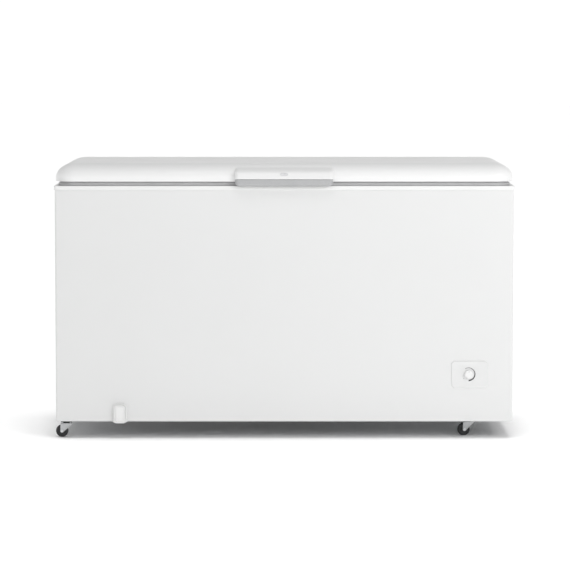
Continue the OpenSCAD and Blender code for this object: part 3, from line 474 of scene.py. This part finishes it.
def cut_ring(bm, face, points):
    """Replaces a flat face by one with a hole in it; returns the vertices round the hole."""
    edges = list(face.edges)
    bmesh.ops.delete(bm, geom=[face], context="FACES_ONLY")
    ring = [bm.verts.new(p) for p in points]
    loop = [bm.edges.new((a, b)) for a, b in zip(ring, ring[1:] + ring[:1])]
    bmesh.ops.triangle_fill(bm, edges=edges + loop, use_beauty=True, use_dissolve=False)
    return ring


def pierce(obj, x, z, radius, planes, steps=36):
    """Round hole along Y through the flat faces of a sheet that lie on the given planes, in mm."""
    bm = bmesh.new()
    bm.from_mesh(obj.data)
    rings = []
    for y in planes:
        for face in bm.faces:
            xs, ys, zs = zip(*(v.co / MM for v in face.verts))
            flat = max(abs(v - y) for v in ys) < FLAT_WITHIN
            across = min(xs) < x - radius and x + radius < max(xs)
            if flat and across and min(zs) < z - radius and z + radius < max(zs):
                break
        turn = [2 * math.pi * i / steps for i in range(steps)]
        points = [Vector((x + radius * math.cos(a), y, z + radius * math.sin(a))) * MM for a in turn]
        rings.append(cut_ring(bm, face, points))
    for i in range(steps):
        j = (i + 1) % steps
        bm.faces.new((rings[0][i], rings[0][j], rings[1][j], rings[1][i]))
    bmesh.ops.recalc_face_normals(bm, faces=bm.faces)
    bm.to_mesh(obj.data)
    bm.free()


def join(objs, name):
    """One object from several that share a body."""
    bm = bmesh.new()
    mats = []
    for obj in objs:
        mesh = obj.data
        start = len(bm.faces)
        bm.from_mesh(mesh)
        bm.faces.ensure_lookup_table()
        index = len(mats)
        mats.append(mesh.materials[0])
        for face in bm.faces[start:]:
            face.material_index = index
    mesh = bpy.data.meshes.new(name)
    bm.to_mesh(mesh)
    bm.free()
    unique = []
    remap = {}
    for i, mat in enumerate(mats):
        if mat not in unique:
            unique.append(mat)
        remap[i] = unique.index(mat)
    for mat in unique:
        mesh.materials.append(mat)
    for poly in mesh.polygons:
        poly.material_index = remap[poly.material_index]
    for obj in objs:
        bpy.data.objects.remove(obj)
    made = bpy.data.objects.new(name, mesh)
    bpy.context.collection.objects.link(made)
    return made


def fillet(points, radii, steps):
    """Rounds the inner corners of a polyline of (a, b) pairs, with one radius for each."""
    out = [points[0]]
    for i in range(1, len(points) - 1):
        p, a, b = Vector(points[i]), Vector(points[i - 1]), Vector(points[i + 1])
        da, db = a - p, b - p
        cut = min(radii[i - 1], da.length * 0.49, db.length * 0.49)
        if cut < 1e-6:
            out.append(tuple(p))
            continue
        pa, pb = p + da.normalized() * cut, p + db.normalized() * cut
        for k in range(steps + 1):
            t = k / steps
            q = pa * (1 - t) ** 2 + p * 2 * t * (1 - t) + pb * t ** 2
            out.append(tuple(q))
    out.append(points[-1])
    return out


BODY_OF = {n: b for b, names in frame["record"]["behaviour"]["bodies"].items() for n in names}
SLOT_OF = {s["node"]: s["material_slot"] for s in frame["record"]["subparts"]}



def joint_at(name):
    """Where a joint stands, in metres."""
    return [joint["pos_m"] for joint in frame["joints"] if joint["name"] == name][0]


# sizes in millimetres: boxes and the knob's place from the frame, plain numbers as in the CAD source
lo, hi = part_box("lid_shell")
HALF_W, HALF_D = hi[0] / MM, hi[1] / MM
LID_Z, LID_TOP = lo[2] / MM, hi[2] / MM
lo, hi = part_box("front_panel")
BODY_Z, PANEL_TOP = lo[2] / MM, hi[2] / MM
lo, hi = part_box("top_frame")
FRAME_TOP = hi[2] / MM
FRAME_X, FRAME_Y = hi[0] / MM, hi[1] / MM
SEAM_Z = PANEL_TOP - 8
SHEET = 1.2
BEND = 8.0
FRONT = HALF_D
KNOB_X, _, KNOB_Z = [v / MM for v in joint_at("knob_turn")]
lo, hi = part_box("drain_cap")
DRAIN_X, DRAIN_Z = (lo[0] + hi[0]) / 2 / MM, 84.0

# ---------------------------------------------------------------- lid

LID_CORNER, LID_REACH, LID_ROUND = 70.0, 68.0, 50.0
LID_VERT = LID_TOP - LID_ROUND
PLUG_CORNER = 94.0
PLUG_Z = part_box("lid_liner")[0][2] / MM


def lid_profile():
    """Section of the lid's shell: a hemmed foot, an upright side and an elliptical shoulder."""
    pts = [(12, LID_Z + 1.5), (12, LID_Z), (0.6, LID_Z), (0.15, LID_Z + 0.15), (0, LID_Z + 0.6)]
    pts.append((0, LID_VERT - 3))
    for i in range(33):
        a = math.pi / 2 * i / 32
        pts.append((LID_REACH * (1 - math.cos(a)), LID_VERT + LID_ROUND * math.sin(a)))
    return pts


def build_lid():
    rings = [rect_ring(HALF_W, HALF_D, LID_CORNER, e, z, 18) for e, z in lid_profile()]
    shell = loft("lid_shell_smooth", rings, M_LID, caps=(False, True))
    soften(shell, angle=50)
    place(shell, "lid", ["lid_shell"], "lid_white")

    edge = 12.3
    raw = [
        (edge, LID_Z + 1.6), (edge, LID_Z), (31, LID_Z), (33, LID_Z + 1.2), (36, LID_Z + 1.2), (38, LID_Z),
        (66, LID_Z), (68, LID_Z - 4), (68.6, PLUG_Z + 3), (72, PLUG_Z), (104, PLUG_Z),
        (108, PLUG_Z + 1), (112, PLUG_Z), (150, PLUG_Z), (156, PLUG_Z + 1), (160, PLUG_Z + 1),
    ]
    rounds = [0.6, 1, 0.5, 0.5, 1, 2, 2, 2, 2.5, 2, 1, 2, 3, 3]
    rings = []
    for e, z in fillet(raw, rounds, 5):
        corner = LID_CORNER if e < 40 else PLUG_CORNER
        rings.append(rect_ring(HALF_W, HALF_D, corner, e, z, 12))
    inner = loft("lid_liner_sheet", rings, M_LINER_PLASTIC, caps=(False, True))
    soften(inner, angle=40)
    place(inner, "lid", ["lid_liner"], "white_plastic")

    low = FRAME_TOP + 0.15
    high = LID_Z - 0.3
    section = [
        (10.0, low + 0.3), (10.3, low), (27.7, low), (28.0, low + 0.3), (28.0, low + 8.3), (27.0, low + 9.4),
        (24.6, low + 9.8), (23.2, low + 10.7), (23.2, low + 12.2), (24.6, high), (13.4, high),
        (14.2, low + 12.4), (14.2, low + 10.9), (13.0, low + 10.0), (11.0, low + 9.7), (10.0, low + 8.8),
    ]
    gasket = rect_sweep("lid_gasket_profile", HALF_W, HALF_D, LID_CORNER, section, M_GASKET, 12)
    soften(gasket, angle=60)
    place(gasket, "lid", ["lid_gasket"], "gasket")


def lid_face(z):
    """Distance of the lid's front face from the centre at height z."""
    up = max(z - LID_VERT, 0) / LID_ROUND
    return HALF_D - LID_REACH + LID_REACH * math.sqrt(max(1 - up * up, 0))


def handle_stations(half, reach):
    """Positions along the handle, packed close together towards its rounded ends."""
    ends = [half - reach * (1 - math.sin(math.pi / 2 * i / 12)) for i in range(13)]
    middle = [(half - reach) * (-1 + 2 * i / 20) for i in range(1, 20)]
    return [-x for x in reversed(ends)] + middle + ends


def round_off(x, half, radius):
    """How far a corner of the given radius has fallen back at x."""
    over = min(max(abs(x) - (half - radius), 0.0), radius)
    return radius - math.sqrt(radius * radius - over * over)


def build_handle():
    lo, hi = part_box("handle_grip")
    low, top = lo[2] / MM, hi[2] / MM
    grip_y, half_grip = -lo[1] / MM, hi[0] / MM
    lo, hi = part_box("handle_housing")
    start, half = lo[2] / MM, hi[0] / MM
    end_round, end_drop = 14.0, 9.0

    # the housing swells out of the lid and falls back at both ends
    crest = 937.0
    stand_off, back_off = 0.45, 0.4
    front = fillet([
        (lid_face(start) + stand_off, start), (grip_y - 2.4, start), (grip_y - 0.8, start + 3.6),
        (grip_y - 12.5, 922.5), (grip_y - 27.0, 930.0), (lid_face(crest) + stand_off, crest),
    ], [1.4, 3.0, 14.0, 14.0], 6)
    rings = []
    for x in handle_stations(half, end_round):
        keep = 1 - round_off(x, half, end_round) / (grip_y - lid_face(start))
        drop = 1 - round_off(x, half, end_drop) / (crest - start)
        ring = []
        for y, z in front:
            zz = start + (z - start) * drop
            yy = lid_face(zz) + stand_off + (y - lid_face(z) - stand_off) * keep
            ring.append(Vector((x * MM, -yy * MM, zz * MM)))
        for i in range(1, 7):
            zz = start + (crest - start) * (1 - i / 7) * drop
            ring.append(Vector((x * MM, -(lid_face(zz) + back_off) * MM, zz * MM)))
        rings.append(ring)
    housing = loft("handle_housing_smooth", rings, M_LID, caps=(True, True))
    soften(housing, angle=48)
    place(housing, "lid", ["handle_housing"], "lid_white")

    # the grip hangs below it: a hooked lip with cut-back ends
    root = 353
    section = fillet([
        (root, top), (371.6, top), (grip_y, top - 1.6), (grip_y, 881), (371.2, 876), (367, low),
        (364.2, low + 1.6), (365.4, 881), (366, 886), (366, top - 3), (root, top - 3),
    ], [1, 1, 6, 5, 3, 1.2, 2, 2, 1.5], 5)
    rings = []
    for x in handle_stations(half_grip, end_round):
        rise = round_off(x, half_grip, end_round)
        ring = []
        for y, z in section:
            t = (top - z) / (top - low)
            back = rise * max(y - root, 0) / (grip_y - root)
            ring.append(Vector((x * MM, -(y - back) * MM, (z + rise * t) * MM)))
        rings.append(ring)
    grip = loft("handle_grip_smooth", rings, M_GRIP, caps=(True, True))
    soften(grip, angle=50)
    place(grip, "lid", ["handle_grip"], "grip_grey")
    refine("badge_plate", M_BADGE, 0.0003, 3)


# ---------------------------------------------------------------- cabinet

# sheets, in millimetres: returns and laps from the front plane, hems, bores and corner radii
FRONT_WRAP, FRONT_FLAT, FRONT_SPAN = 30, 19, 80
LAP_FROM, LAP_TO, SIDE_FROM, SIDE_SPAN = 28, 29.9, 30.4, 60
REAR_WRAP = 24.8
FRONT_HEM, SIDE_HEM = 12.0, 2.4
DRAIN_BORE, KNOB_BORE = 12.5, 11.0
FRAME_CORNER, FRAME_INNER, RAIL_CORNER = 11, 10, 12


def path_rings(outline, profile):
    """Rings along an open sheet outline: outline(inset) gives plan points, profile is (inset, z)."""
    return [[Vector((x * MM, y * MM, z * MM)) for x, y in outline(e)] for e, z in profile]


def front_outline(e):
    """Plan of the front sheet at inset e: it turns round both corners on to the sides."""
    r = max(BEND, e)
    rr = max(BEND - e, 0.0)
    pts = [(-HALF_W + e, -HALF_D + FRONT_WRAP), (-HALF_W + e, -HALF_D + FRONT_FLAT)]
    for i in range(13):
        a = math.radians(180 + 90 * i / 12)
        pts.append((-HALF_W + r + rr * math.cos(a), -HALF_D + r + rr * math.sin(a)))
    flat = 2 * HALF_W - 2 * FRONT_SPAN
    pts += [(-HALF_W + FRONT_SPAN + flat * i / 12, -HALF_D + e) for i in range(13)]
    for i in range(13):
        a = math.radians(270 + 90 * i / 12)
        pts.append((HALF_W - r + rr * math.cos(a), -HALF_D + r + rr * math.sin(a)))
    pts += [(HALF_W - e, -HALF_D + FRONT_FLAT), (HALF_W - e, -HALF_D + FRONT_WRAP)]
    return pts


def side_outline(e):
    """Plan of the right side sheet at inset e: it turns round the rear corner."""
    r = max(BEND, e)
    rr = max(BEND - e, 0.0)
    # a short tongue laps behind the front sheet, so the joint shows paint and no foam
    lap = HALF_W - SHEET - 0.1 - e
    pts = [(lap, -HALF_D + LAP_FROM), (lap, -HALF_D + LAP_TO)]
    pts += [(HALF_W - e, -HALF_D + SIDE_FROM), (HALF_W - e, -HALF_D + SIDE_SPAN)]
    flat = 2 * HALF_D - 2 * SIDE_SPAN
    pts += [(HALF_W - e, -HALF_D + SIDE_SPAN + flat * i / 8) for i in range(1, 9)]
    for i in range(9):
        a = math.radians(90 * i / 8)
        pts.append((HALF_W - r + rr * math.cos(a), HALF_D - r + rr * math.sin(a)))
    pts.append((HALF_W - REAR_WRAP, HALF_D - e))
    return pts


def sheet_profile(flange):
    """Section of a painted sheet with its lower edge hemmed inwards."""
    pts = [(SHEET, PANEL_TOP), (0.0, PANEL_TOP), (0.0, 400.0), (0.0, BODY_Z + 7.0)]
    pts += [(0.25, BODY_Z + 5.6), (0.0, BODY_Z + 4.2), (0.0, BODY_Z + 1.0)]
    pts += [(0.25, BODY_Z + 0.25), (1.0, BODY_Z)]
    pts += [(flange, BODY_Z), (flange, BODY_Z + SHEET), (SHEET, BODY_Z + SHEET)]
    return pts


def build_cabinet():
    rings = path_rings(front_outline, sheet_profile(FRONT_HEM))
    front = loft("front_panel_sheet", rings, M_BODY, around=False, along=True)
    for x, z, radius in ((DRAIN_X, DRAIN_Z, DRAIN_BORE), (KNOB_X, KNOB_Z, KNOB_BORE)):
        pierce(front, x, z, radius, (-HALF_D, -HALF_D + SHEET))
    soften(front, angle=40)
    place(front, "cabinet", ["front_panel"], "body_paint")

    for sign, name in ((1, "right_side_panel"), (-1, "left_side_panel")):
        rings = path_rings(side_outline, sheet_profile(SIDE_HEM))
        rings = [[Vector((sign * v.x, v.y, v.z)) for v in ring] for ring in rings]
        side = loft(name + "_sheet", rings, M_BODY, around=False, along=True)
        soften(side, angle=40)
        place(side, "cabinet", [name], "body_paint")

    z0, z1, skirt = SEAM_Z, FRAME_TOP, 846.5
    section = [
        (2.7, z0), (0.6, z0), (0.12, z0 + 0.2), (0, z0 + 0.7), (0, z1 - 1.2), (0.12, z1 - 0.6),
        (0.4, z1 - 0.2), (1.0, z1), (9.5, z1), (10.3, z1 - 0.5), (33.0, z1 - 0.5), (33.8, z1),
        (60.6, z1), (62.2, z1 - 0.5), (63, z1 - 1.8), (63, skirt), (61.2, skirt), (61, z1 - 3),
        (60, z1 - 2), (4, z1 - 2), (2.7, z1 - 3),
    ]
    trim = rect_sweep("top_frame_profile", FRAME_X, FRAME_Y, FRAME_CORNER, section, M_TRIM, 10, FRAME_INNER)
    soften(trim, angle=50)
    place(trim, "cabinet", ["top_frame"], "white_plastic")

    lo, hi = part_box("basket_rail")
    hx, hy, z1, z0 = hi[0] / MM, hi[1] / MM, hi[2] / MM, lo[2] / MM
    section = [
        (0, z1), (13, z1), (13.8, z1 - 0.3), (14, z1 - 1), (14, z0 + 0.5), (13.5, z0), (12.5, z0),
        (12, z0 + 0.5), (12, z1 - 2), (0, z1 - 2),
    ]
    rail = rect_sweep("basket_rail_profile", hx, hy, RAIL_CORNER, section, M_TRIM, 8)
    soften(rail, angle=60)
    place(rail, "cabinet", ["basket_rail"], "white_plastic")


lo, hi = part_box("inner_liner")
RIM_FLANGE, LINER_T = 6.0, 1.0
TUB_X, TUB_Y, TUB_TOP = hi[0] / MM - RIM_FLANGE, hi[1] / MM - RIM_FLANGE, hi[2] / MM - 0.4
TUB_LOW = lo[2] / MM + LINER_T
STEP_X, STEP_Z, TUB_FOLD = 480.0, 365.0, 12.0
DRAIN_Y, DRAIN_HOLE_R = -240.0, 8.2


def tub_outline(inset):
    """Walls, floor and step of the tub seen from the front, from the left rim to the right rim."""
    left, wall, right = -TUB_X + inset, STEP_X - inset, TUB_X - inset
    floor, shelf = TUB_LOW + inset, STEP_Z + inset
    corners = [(left, TUB_TOP), (left, floor), (wall, floor), (wall, shelf), (right, shelf), (right, TUB_TOP)]
    return fillet(corners, [TUB_FOLD, TUB_FOLD, 0, TUB_FOLD], 5)


def build_tub():
    """Inner liner: one folded sheet with a step at the right and a drain hole."""
    steps = 6
    ends = []
    for i in range(steps + 1):
        a = math.pi / 2 * i / steps
        ends.append((TUB_FOLD * (1 - math.sin(a)), TUB_Y - TUB_FOLD * (1 - math.cos(a))))
    rings = []
    for inset, y in [(e, -y) for e, y in ends] + list(reversed(ends)):
        rings.append([Vector((x * MM, y * MM, z * MM)) for x, z in tub_outline(inset)])
    tub = loft("tub_liner_sheet", rings, M_TUB, around=False, caps=(True, True))
    bm = bmesh.new()
    bm.from_mesh(tub.data)
    low = [f for f in bm.faces if abs(f.calc_center_median().z - TUB_LOW * MM) < 1e-5]
    floor = max((f for f in low if abs(f.normal.z) > 0.9), key=lambda f: f.calc_area())
    hole = []
    for i in range(32):
        a = 2 * math.pi * i / 32
        x, y = DRAIN_X + DRAIN_HOLE_R * math.cos(a), DRAIN_Y + DRAIN_HOLE_R * math.sin(a)
        hole.append(Vector((x, y, TUB_LOW)) * MM)
    cut_ring(bm, floor, hole)
    bmesh.ops.recalc_face_normals(bm, faces=bm.faces)
    bm.to_mesh(tub.data)
    bm.free()
    soften(tub, angle=50)
    place(tub, "cabinet", ["inner_liner"], "liner")
    refine("drain_plug", M_GREY, 0.0006, 3)


# ---------------------------------------------------------------- controls and drain

# how far the panel reaches from the knob, and how much of its corners is cut off
BEZEL_LEFT, BEZEL_RIGHT, BEZEL_DOWN, BEZEL_UP, BEZEL_CUT = 61, 65, 49, 45, 9
# the printed arc: its centre beside the knob's, radius, first angle and sweep in degrees
ARC_DX, ARC_DZ, ARC_R, ARC_FROM, ARC_SWEEP = -0.9, -0.3, 21.9, 121, 211
ARC_OUT, DOT_OUT, KNOB_OUT = 2.78, 2.72, 3.1
DOT_DX, DOT_DZ = -17.5, -15.5
FLUTES, FLUTE_DEPTH = 28, 0.22


def bezel_outline(inset):
    """The control panel seen from the front: a rectangle with cut, slightly rounded corners."""
    x0, x1 = KNOB_X - BEZEL_LEFT + inset, KNOB_X + BEZEL_RIGHT - inset
    z0, z1 = KNOB_Z - BEZEL_DOWN + inset, KNOB_Z + BEZEL_UP - inset
    c = BEZEL_CUT - inset * 0.5
    pts = [
        (x0 + c, z0), (x1 - c, z0), (x1, z0 + c), (x1, z1 - c),
        (x1 - c, z1), (x0 + c, z1), (x0, z1 - c), (x0, z0 + c),
    ]
    n = len(pts)
    out = []
    for i in range(n):
        p, a, b = Vector(pts[i]), Vector(pts[i - 1]), Vector(pts[(i + 1) % n])
        cut = min(1.2, (a - p).length * 0.4, (b - p).length * 0.4)
        pa, pb = p + (a - p).normalized() * cut, p + (b - p).normalized() * cut
        for k in range(5):
            t = k / 4
            out.append(pa * (1 - t) ** 2 + p * 2 * t * (1 - t) + pb * t ** 2)
    return out


def build_controls():
    depth = [(0.0, 0.1), (0.0, 0.8), (0.3, 1.2), (1.5, 2.4), (2.1, 2.72), (2.8, 2.8), (4.5, 2.8), (5.6, 2.7)]
    rings = []
    for inset, out in depth:
        rings.append([Vector((p.x * MM, -(FRONT + out) * MM, p.y * MM)) for p in bezel_outline(inset)])
    bezel = loft("control_bezel_moulding", rings, M_BEZEL, caps=(True, True))
    soften(bezel, angle=40)
    place(bezel, "cabinet", ["control_bezel"], "white_plastic")

    # printed scale: an arc that widens clockwise from eleven to six o'clock, and one small dot
    verts = []
    steps = 48
    for i in range(steps + 1):
        t = i / steps
        a = math.radians(ARC_FROM - ARC_SWEEP * t)
        half = 0.85 + 0.95 * t + 0.9 * t ** 3
        for r in (ARC_R - half, ARC_R + half):
            x, z = KNOB_X + ARC_DX + r * math.cos(a), KNOB_Z + ARC_DZ + r * math.sin(a)
            verts.append((x * MM, -(FRONT + ARC_OUT) * MM, z * MM))
    faces = [(2 * i, 2 * i + 1, 2 * i + 3, 2 * i + 2) for i in range(steps)]
    arc = new_object("scale_arc_print", verts, faces, M_INK)
    place(arc, "cabinet", [], "black_plastic")
    dot_at = (KNOB_X + DOT_DX, -(FRONT + DOT_OUT), KNOB_Z + DOT_DZ)
    dot_section = [(0.0, 0.06), (1.3, 0.06), (1.3, 0.0)]
    dot = lathe("scale_dot_print", dot_section, M_INK_GREY, dot_at, (0, -1, 0), 20)
    place(dot, "cabinet", [], "grey_plastic")

    def flutes(a, r, h):
        """Shallow grooves round the grip of the knob."""
        if r > 13 and 1.0 < h < 9.8:
            return -FLUTE_DEPTH * (0.5 + 0.5 * math.cos(FLUTES * a))
        return 0.0

    base = -(FRONT + KNOB_OUT)
    profile = [
        (3.0, -26.0), (3.0, 0.0), (13.9, 0.0), (14.6, 0.5), (14.8, 1.2), (14.5, 9.4), (14.1, 10.4),
        (13.3, 11.1), (12.2, 11.4), (9.0, 11.25), (4.0, 10.9), (0.0, 10.8),
    ]
    knob = lathe("knob_body", profile, M_TRIM, (KNOB_X, base, KNOB_Z), (0, -1, 0), 112, flutes)
    pointer = new_object("knob_pointer", [
        ((KNOB_X + x) * MM, (base - h) * MM, (KNOB_Z + z) * MM)
        for x, h, z in ((-0.55, 11.25, 6.0), (0.55, 11.25, 6.0), (0.55, 11.55, 12.2), (-0.55, 11.55, 12.2))
    ], [(0, 1, 2, 3)], M_INK_GREY)
    whole = join([knob, pointer], "thermostat_knob_turned")
    soften(whole, angle=38)
    place(whole, "knob", ["thermostat_knob"], "white_plastic")

    refine("drain_housing", M_TRIM, 0.0009, 3)
    refine("drain_cap", M_TRIM, 0.0012, 4)
    refine("thermostat_body", M_GREY, 0.0008)


# ---------------------------------------------------------------- casters

def build_casters():
    wheel_r, wheel_w, axle = 21.45, 18.0, 3.06
    h = wheel_w / 2
    half = [
        (axle, h + 0.8), (5.6, h + 0.8), (6.4, h + 0.3), (6.6, h - 1.2), (8.0, h - 1.5), (12.6, h - 1.5),
        (13.8, h - 0.9), (14.2, h - 0.2), (15.0, h), (18.2, h), (19.3, h - 0.3), (20.3, h - 1.2),
        (21.0, h - 2.4), (21.35, h - 4.2), (wheel_r, 2.0),
    ]
    profile = half + [(r, -z) for r, z in reversed(half)]
    for joint in frame["joints"]:
        name = joint["child"]
        if not name.startswith("wheel_"):
            continue
        axis = Vector(joint["axis"]).normalized()
        centre = Vector(joint["pos_m"]) / MM
        tyre = lathe(name + "_turned", profile + [profile[0]], M_TYRE, centre, axis, 64)
        soften(tyre, angle=50)
        place(tyre, name, [name], "wheel")
    for corner in ("front_left", "front_right", "rear_left", "rear_right"):
        refine("fork_" + corner, M_FORK, 0.0005, 2)
        refine("axle_" + corner, M_BRIGHT, 0.0006, 3)
    refine("caster_plates", M_PLATE, 0.0007, 2)
    refine("caster_screws", M_BRIGHT, 0.0005, 3)


# ---------------------------------------------------------------- hinges and the back

# hinge springs, in millimetres from the hinge's middle and the pin's axis
HINGE_X = 520
COIL_R, COIL_PITCH, COIL_TURNS, COIL_STEPS = 6.0, 2.25, 5, 20
COIL_START, LEG_AT, LEG_DROP = 14.4, 14.2, 38
WIRE_R, WIRE_SIDES = 0.95, 8


def build_hinges():
    pivot = Vector(joint_at("lid_hinge")) / MM
    coils = []
    for sx in (-1, 1):
        for side in (-1, 1):
            # a straight leg up the back, then the coil round the pin
            foot = pivot.z - LEG_DROP
            leg_x = sx * HINGE_X + side * LEG_AT
            points = [(leg_x, pivot.y + COIL_R, foot + 4 * i) for i in range(9)]
            for i in range(COIL_TURNS * COIL_STEPS + 1):
                a = 2 * math.pi * i / COIL_STEPS
                points.append((
                    sx * HINGE_X + side * (COIL_START + COIL_PITCH * i / COIL_STEPS),
                    pivot.y + COIL_R * math.cos(a),
                    pivot.z + COIL_R * math.sin(a),
                ))
            rings = tube_points(points, WIRE_R, WIRE_SIDES)
            coils.append(loft("coil", rings, M_SPRING, caps=(True, True)))
    springs = join(coils, "hinge_springs_coiled")
    soften(springs, angle=60)
    place(springs, "cabinet", ["hinge_springs"], "spring_steel")
    for side in ("left", "right"):
        refine("hinge_base_" + side, M_ZINC, 0.0006, 2)
        refine("hinge_arm_" + side, M_ZINC, 0.0006, 2)
        refine("hinge_cover_" + side, M_TRIM, 0.0016, 4)
    refine("hinge_pins", M_BRIGHT, 0.0006, 3)
    refine("cabinet_screws", M_BRIGHT, 0.0006, 3)
    refine("lid_screws", M_BRIGHT, 0.0006, 3)
    refine("cable_gland", M_BLACK, 0.0006, 3)


def build_grille():
    """Ventilation grille of the compressor compartment: a frame with sloping slats."""
    lo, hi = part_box("rear_grille")
    (x0, y0, z0), (x1, y1, z1) = [[v / MM for v in corner] for corner in (lo, hi)]

    def ring(side, foot, head, y):
        """Rectangle at depth y with cut corners, shrunk by side, foot and head."""
        a, b, c, d = x0 + side, x1 - side, z0 + foot, z1 - head
        out = []
        for x, z, sx, sz in ((a, c, 1, 1), (b, c, -1, 1), (b, d, -1, -1), (a, d, 1, -1)):
            near, far = (x + 1.5 * sx, z), (x, z + 1.5 * sz)
            pair = [near, far] if sx == -sz else [far, near]
            out += [Vector((u * MM, y * MM, v * MM)) for u, v in pair]
        return out

    first, pitch, slot, count = 19.0, 12.0, 7.0, 14
    top = z1 - (z0 + first + pitch * (count - 1) + slot)
    rings = [
        ring(0, 0, 0, y0), ring(0, 0, 0, y1 - 1.2),
        ring(0.35, 0.35, 0.35, y1 - 0.35), ring(1.2, 1.2, 1.2, y1),
        ring(18.8, first - 1.2, top - 1.2, y1), ring(19.65, first - 0.35, top - 0.35, y1 - 0.35),
        ring(20, first, top, y1 - 1.2), ring(20, first, top, y0),
    ]
    parts = [loft("grille_frame", rings, M_GREY, along=True)]
    for i in range(count - 1):
        z = z0 + first + slot + pitch * i
        section = [
            (y0, z + 0.4), (y0 + 0.4, z), (y1 - 0.6, z), (y1 - 0.1, z + 0.4), (y1, z + 1.0), (y1, z + 2.6),
            (y1 - 0.3, z + 3.2), (y1 - 1.6, z + 4.7), (y1 - 2.1, z + 5.0), (y0 + 0.3, z + 5.0), (y0, z + 4.6),
        ]
        ends = [[Vector((x * MM, y * MM, v * MM)) for y, v in section] for x in (x0 + 19.8, x1 - 19.8)]
        parts.append(loft("grille_slat", ends, M_GREY, caps=(True, True)))
    grille = join(parts, "rear_grille_louvred")
    soften(grille, angle=32)
    place(grille, "cabinet", ["rear_grille"], SLOT_OF["rear_grille"])


def build_machine():
    refine("compressor", M_COMP, 0.0012, 3)
    refine("compressor_base", M_ZINC, 0.0004, 2)
    refine("compressor_grommets", M_RUBBER, 0.0012, 3)
    refine("compressor_bolts", M_BRIGHT, 0.0006, 2)
    refine("relay_cover", M_BLACK, 0.0022, 3)
    refine("filter_drier", M_COPPER, 0.001, 3)


def build_sheets_and_tubes():
    """The basket and tubes get smooth shading, plain sheets get soft edges too."""
    refine("basket", M_WIRE, 0.0)
    refine("rear_panel", M_BODY, 0.0003)
    refine("bottom_panel", M_ZINC, 0.0003)
    for name, mat in (
        ("refrigerant_pipes", M_COPPER), ("drain_tube", M_TRIM),
        ("condenser_coil", M_ALU_TUBE), ("evaporator_coil", M_ALU_TUBE),
    ):
        refine(name, mat, 0.0)


build_lid()
build_handle()
build_cabinet()
build_tub()
build_controls()
build_casters()
build_hinges()
build_grille()
build_machine()
build_sheets_and_tubes()

# the two foam blocks keep their CAD shape, under everything else
for name in ("cabinet_foam", "lid_foam"):
    for slot in NODES[name].material_slots:
        slot.material = M_FOAM


# ---------------------------------------------------------------- stage

# the photograph's viewpoint: 1.36 m up, far away, with a long lens and a slight tilt down
CAMERA_AT = (0.0028, -0.345 - 10.27, 1.3555)
CAMERA_TILT = 4.5824
CAMERA_LENS = 188.74
LIGHT_TARGET = (0, 0, 0.5)


def build_stage():
    size = 60.0
    verts = [(-size, -size, 0), (size, -size, 0), (size, size, 0), (-size, size, 0)]
    floor = new_object("studio_floor", verts, [(0, 1, 2, 3)], floor_material())
    return floor


def area_light(name, at, size, power):
    data = bpy.data.lights.new(name, "AREA")
    data.shape = "RECTANGLE"
    data.size, data.size_y = size
    data.energy = power
    data.spread = math.pi
    obj = bpy.data.objects.new(name, data)
    bpy.context.collection.objects.link(obj)
    obj.location = at
    obj.rotation_euler = (Vector(LIGHT_TARGET) - Vector(at)).to_track_quat("-Z", "Y").to_euler()
    obj.visible_camera = False


def build_light(floor):
    world = bpy.data.worlds.new("studio")
    bpy.context.scene.world = world
    world.use_nodes = True
    tree = world.node_tree
    back = tree.nodes["Background"]
    coord = tree.nodes.new("ShaderNodeTexCoord")
    split = tree.nodes.new("ShaderNodeSeparateXYZ")
    ramp = tree.nodes.new("ShaderNodeValToRGB")
    low, high = ramp.color_ramp.elements
    low.position, low.color = 0.1, (1.0, 1.0, 1.0, 1.0)
    high.position, high.color = 0.6, (0.48, 0.48, 0.48, 1.0)
    tree.links.new(coord.outputs["Generated"], split.inputs[0])
    tree.links.new(split.outputs["Z"], ramp.inputs["Fac"])
    tree.links.new(ramp.outputs["Color"], back.inputs["Color"])
    back.inputs["Strength"].default_value = 1.05
    area_light("key", (2.6, -3.4, 2.2), (1.4, 1.0), 47)
    area_light("fill", (0.0, -1.8, 3.4), (2.4, 0.8), 11.5)
    # a sun that lights only the floor keeps it white round the shadow
    sun = bpy.data.lights.new("floor_wash", "SUN")
    sun.energy = 1.65
    sun.angle = math.radians(40)
    wash = bpy.data.objects.new("floor_wash", sun)
    bpy.context.collection.objects.link(wash)
    only = bpy.data.collections.new("floor_only")
    only.objects.link(floor)
    wash.light_linking.receiver_collection = only
    bpy.context.scene.view_settings.view_transform = "Standard"


def build_camera():
    data = bpy.data.cameras.new("camera")
    data.sensor_width = 36.0
    data.lens = CAMERA_LENS
    data.clip_end = 200.0
    cam = bpy.data.objects.new("camera", data)
    bpy.context.collection.objects.link(cam)
    cam.location = CAMERA_AT
    cam.rotation_euler = (math.radians(90 - CAMERA_TILT), 0, 0)
    bpy.context.scene.camera = cam


build_light(build_stage())
build_camera()
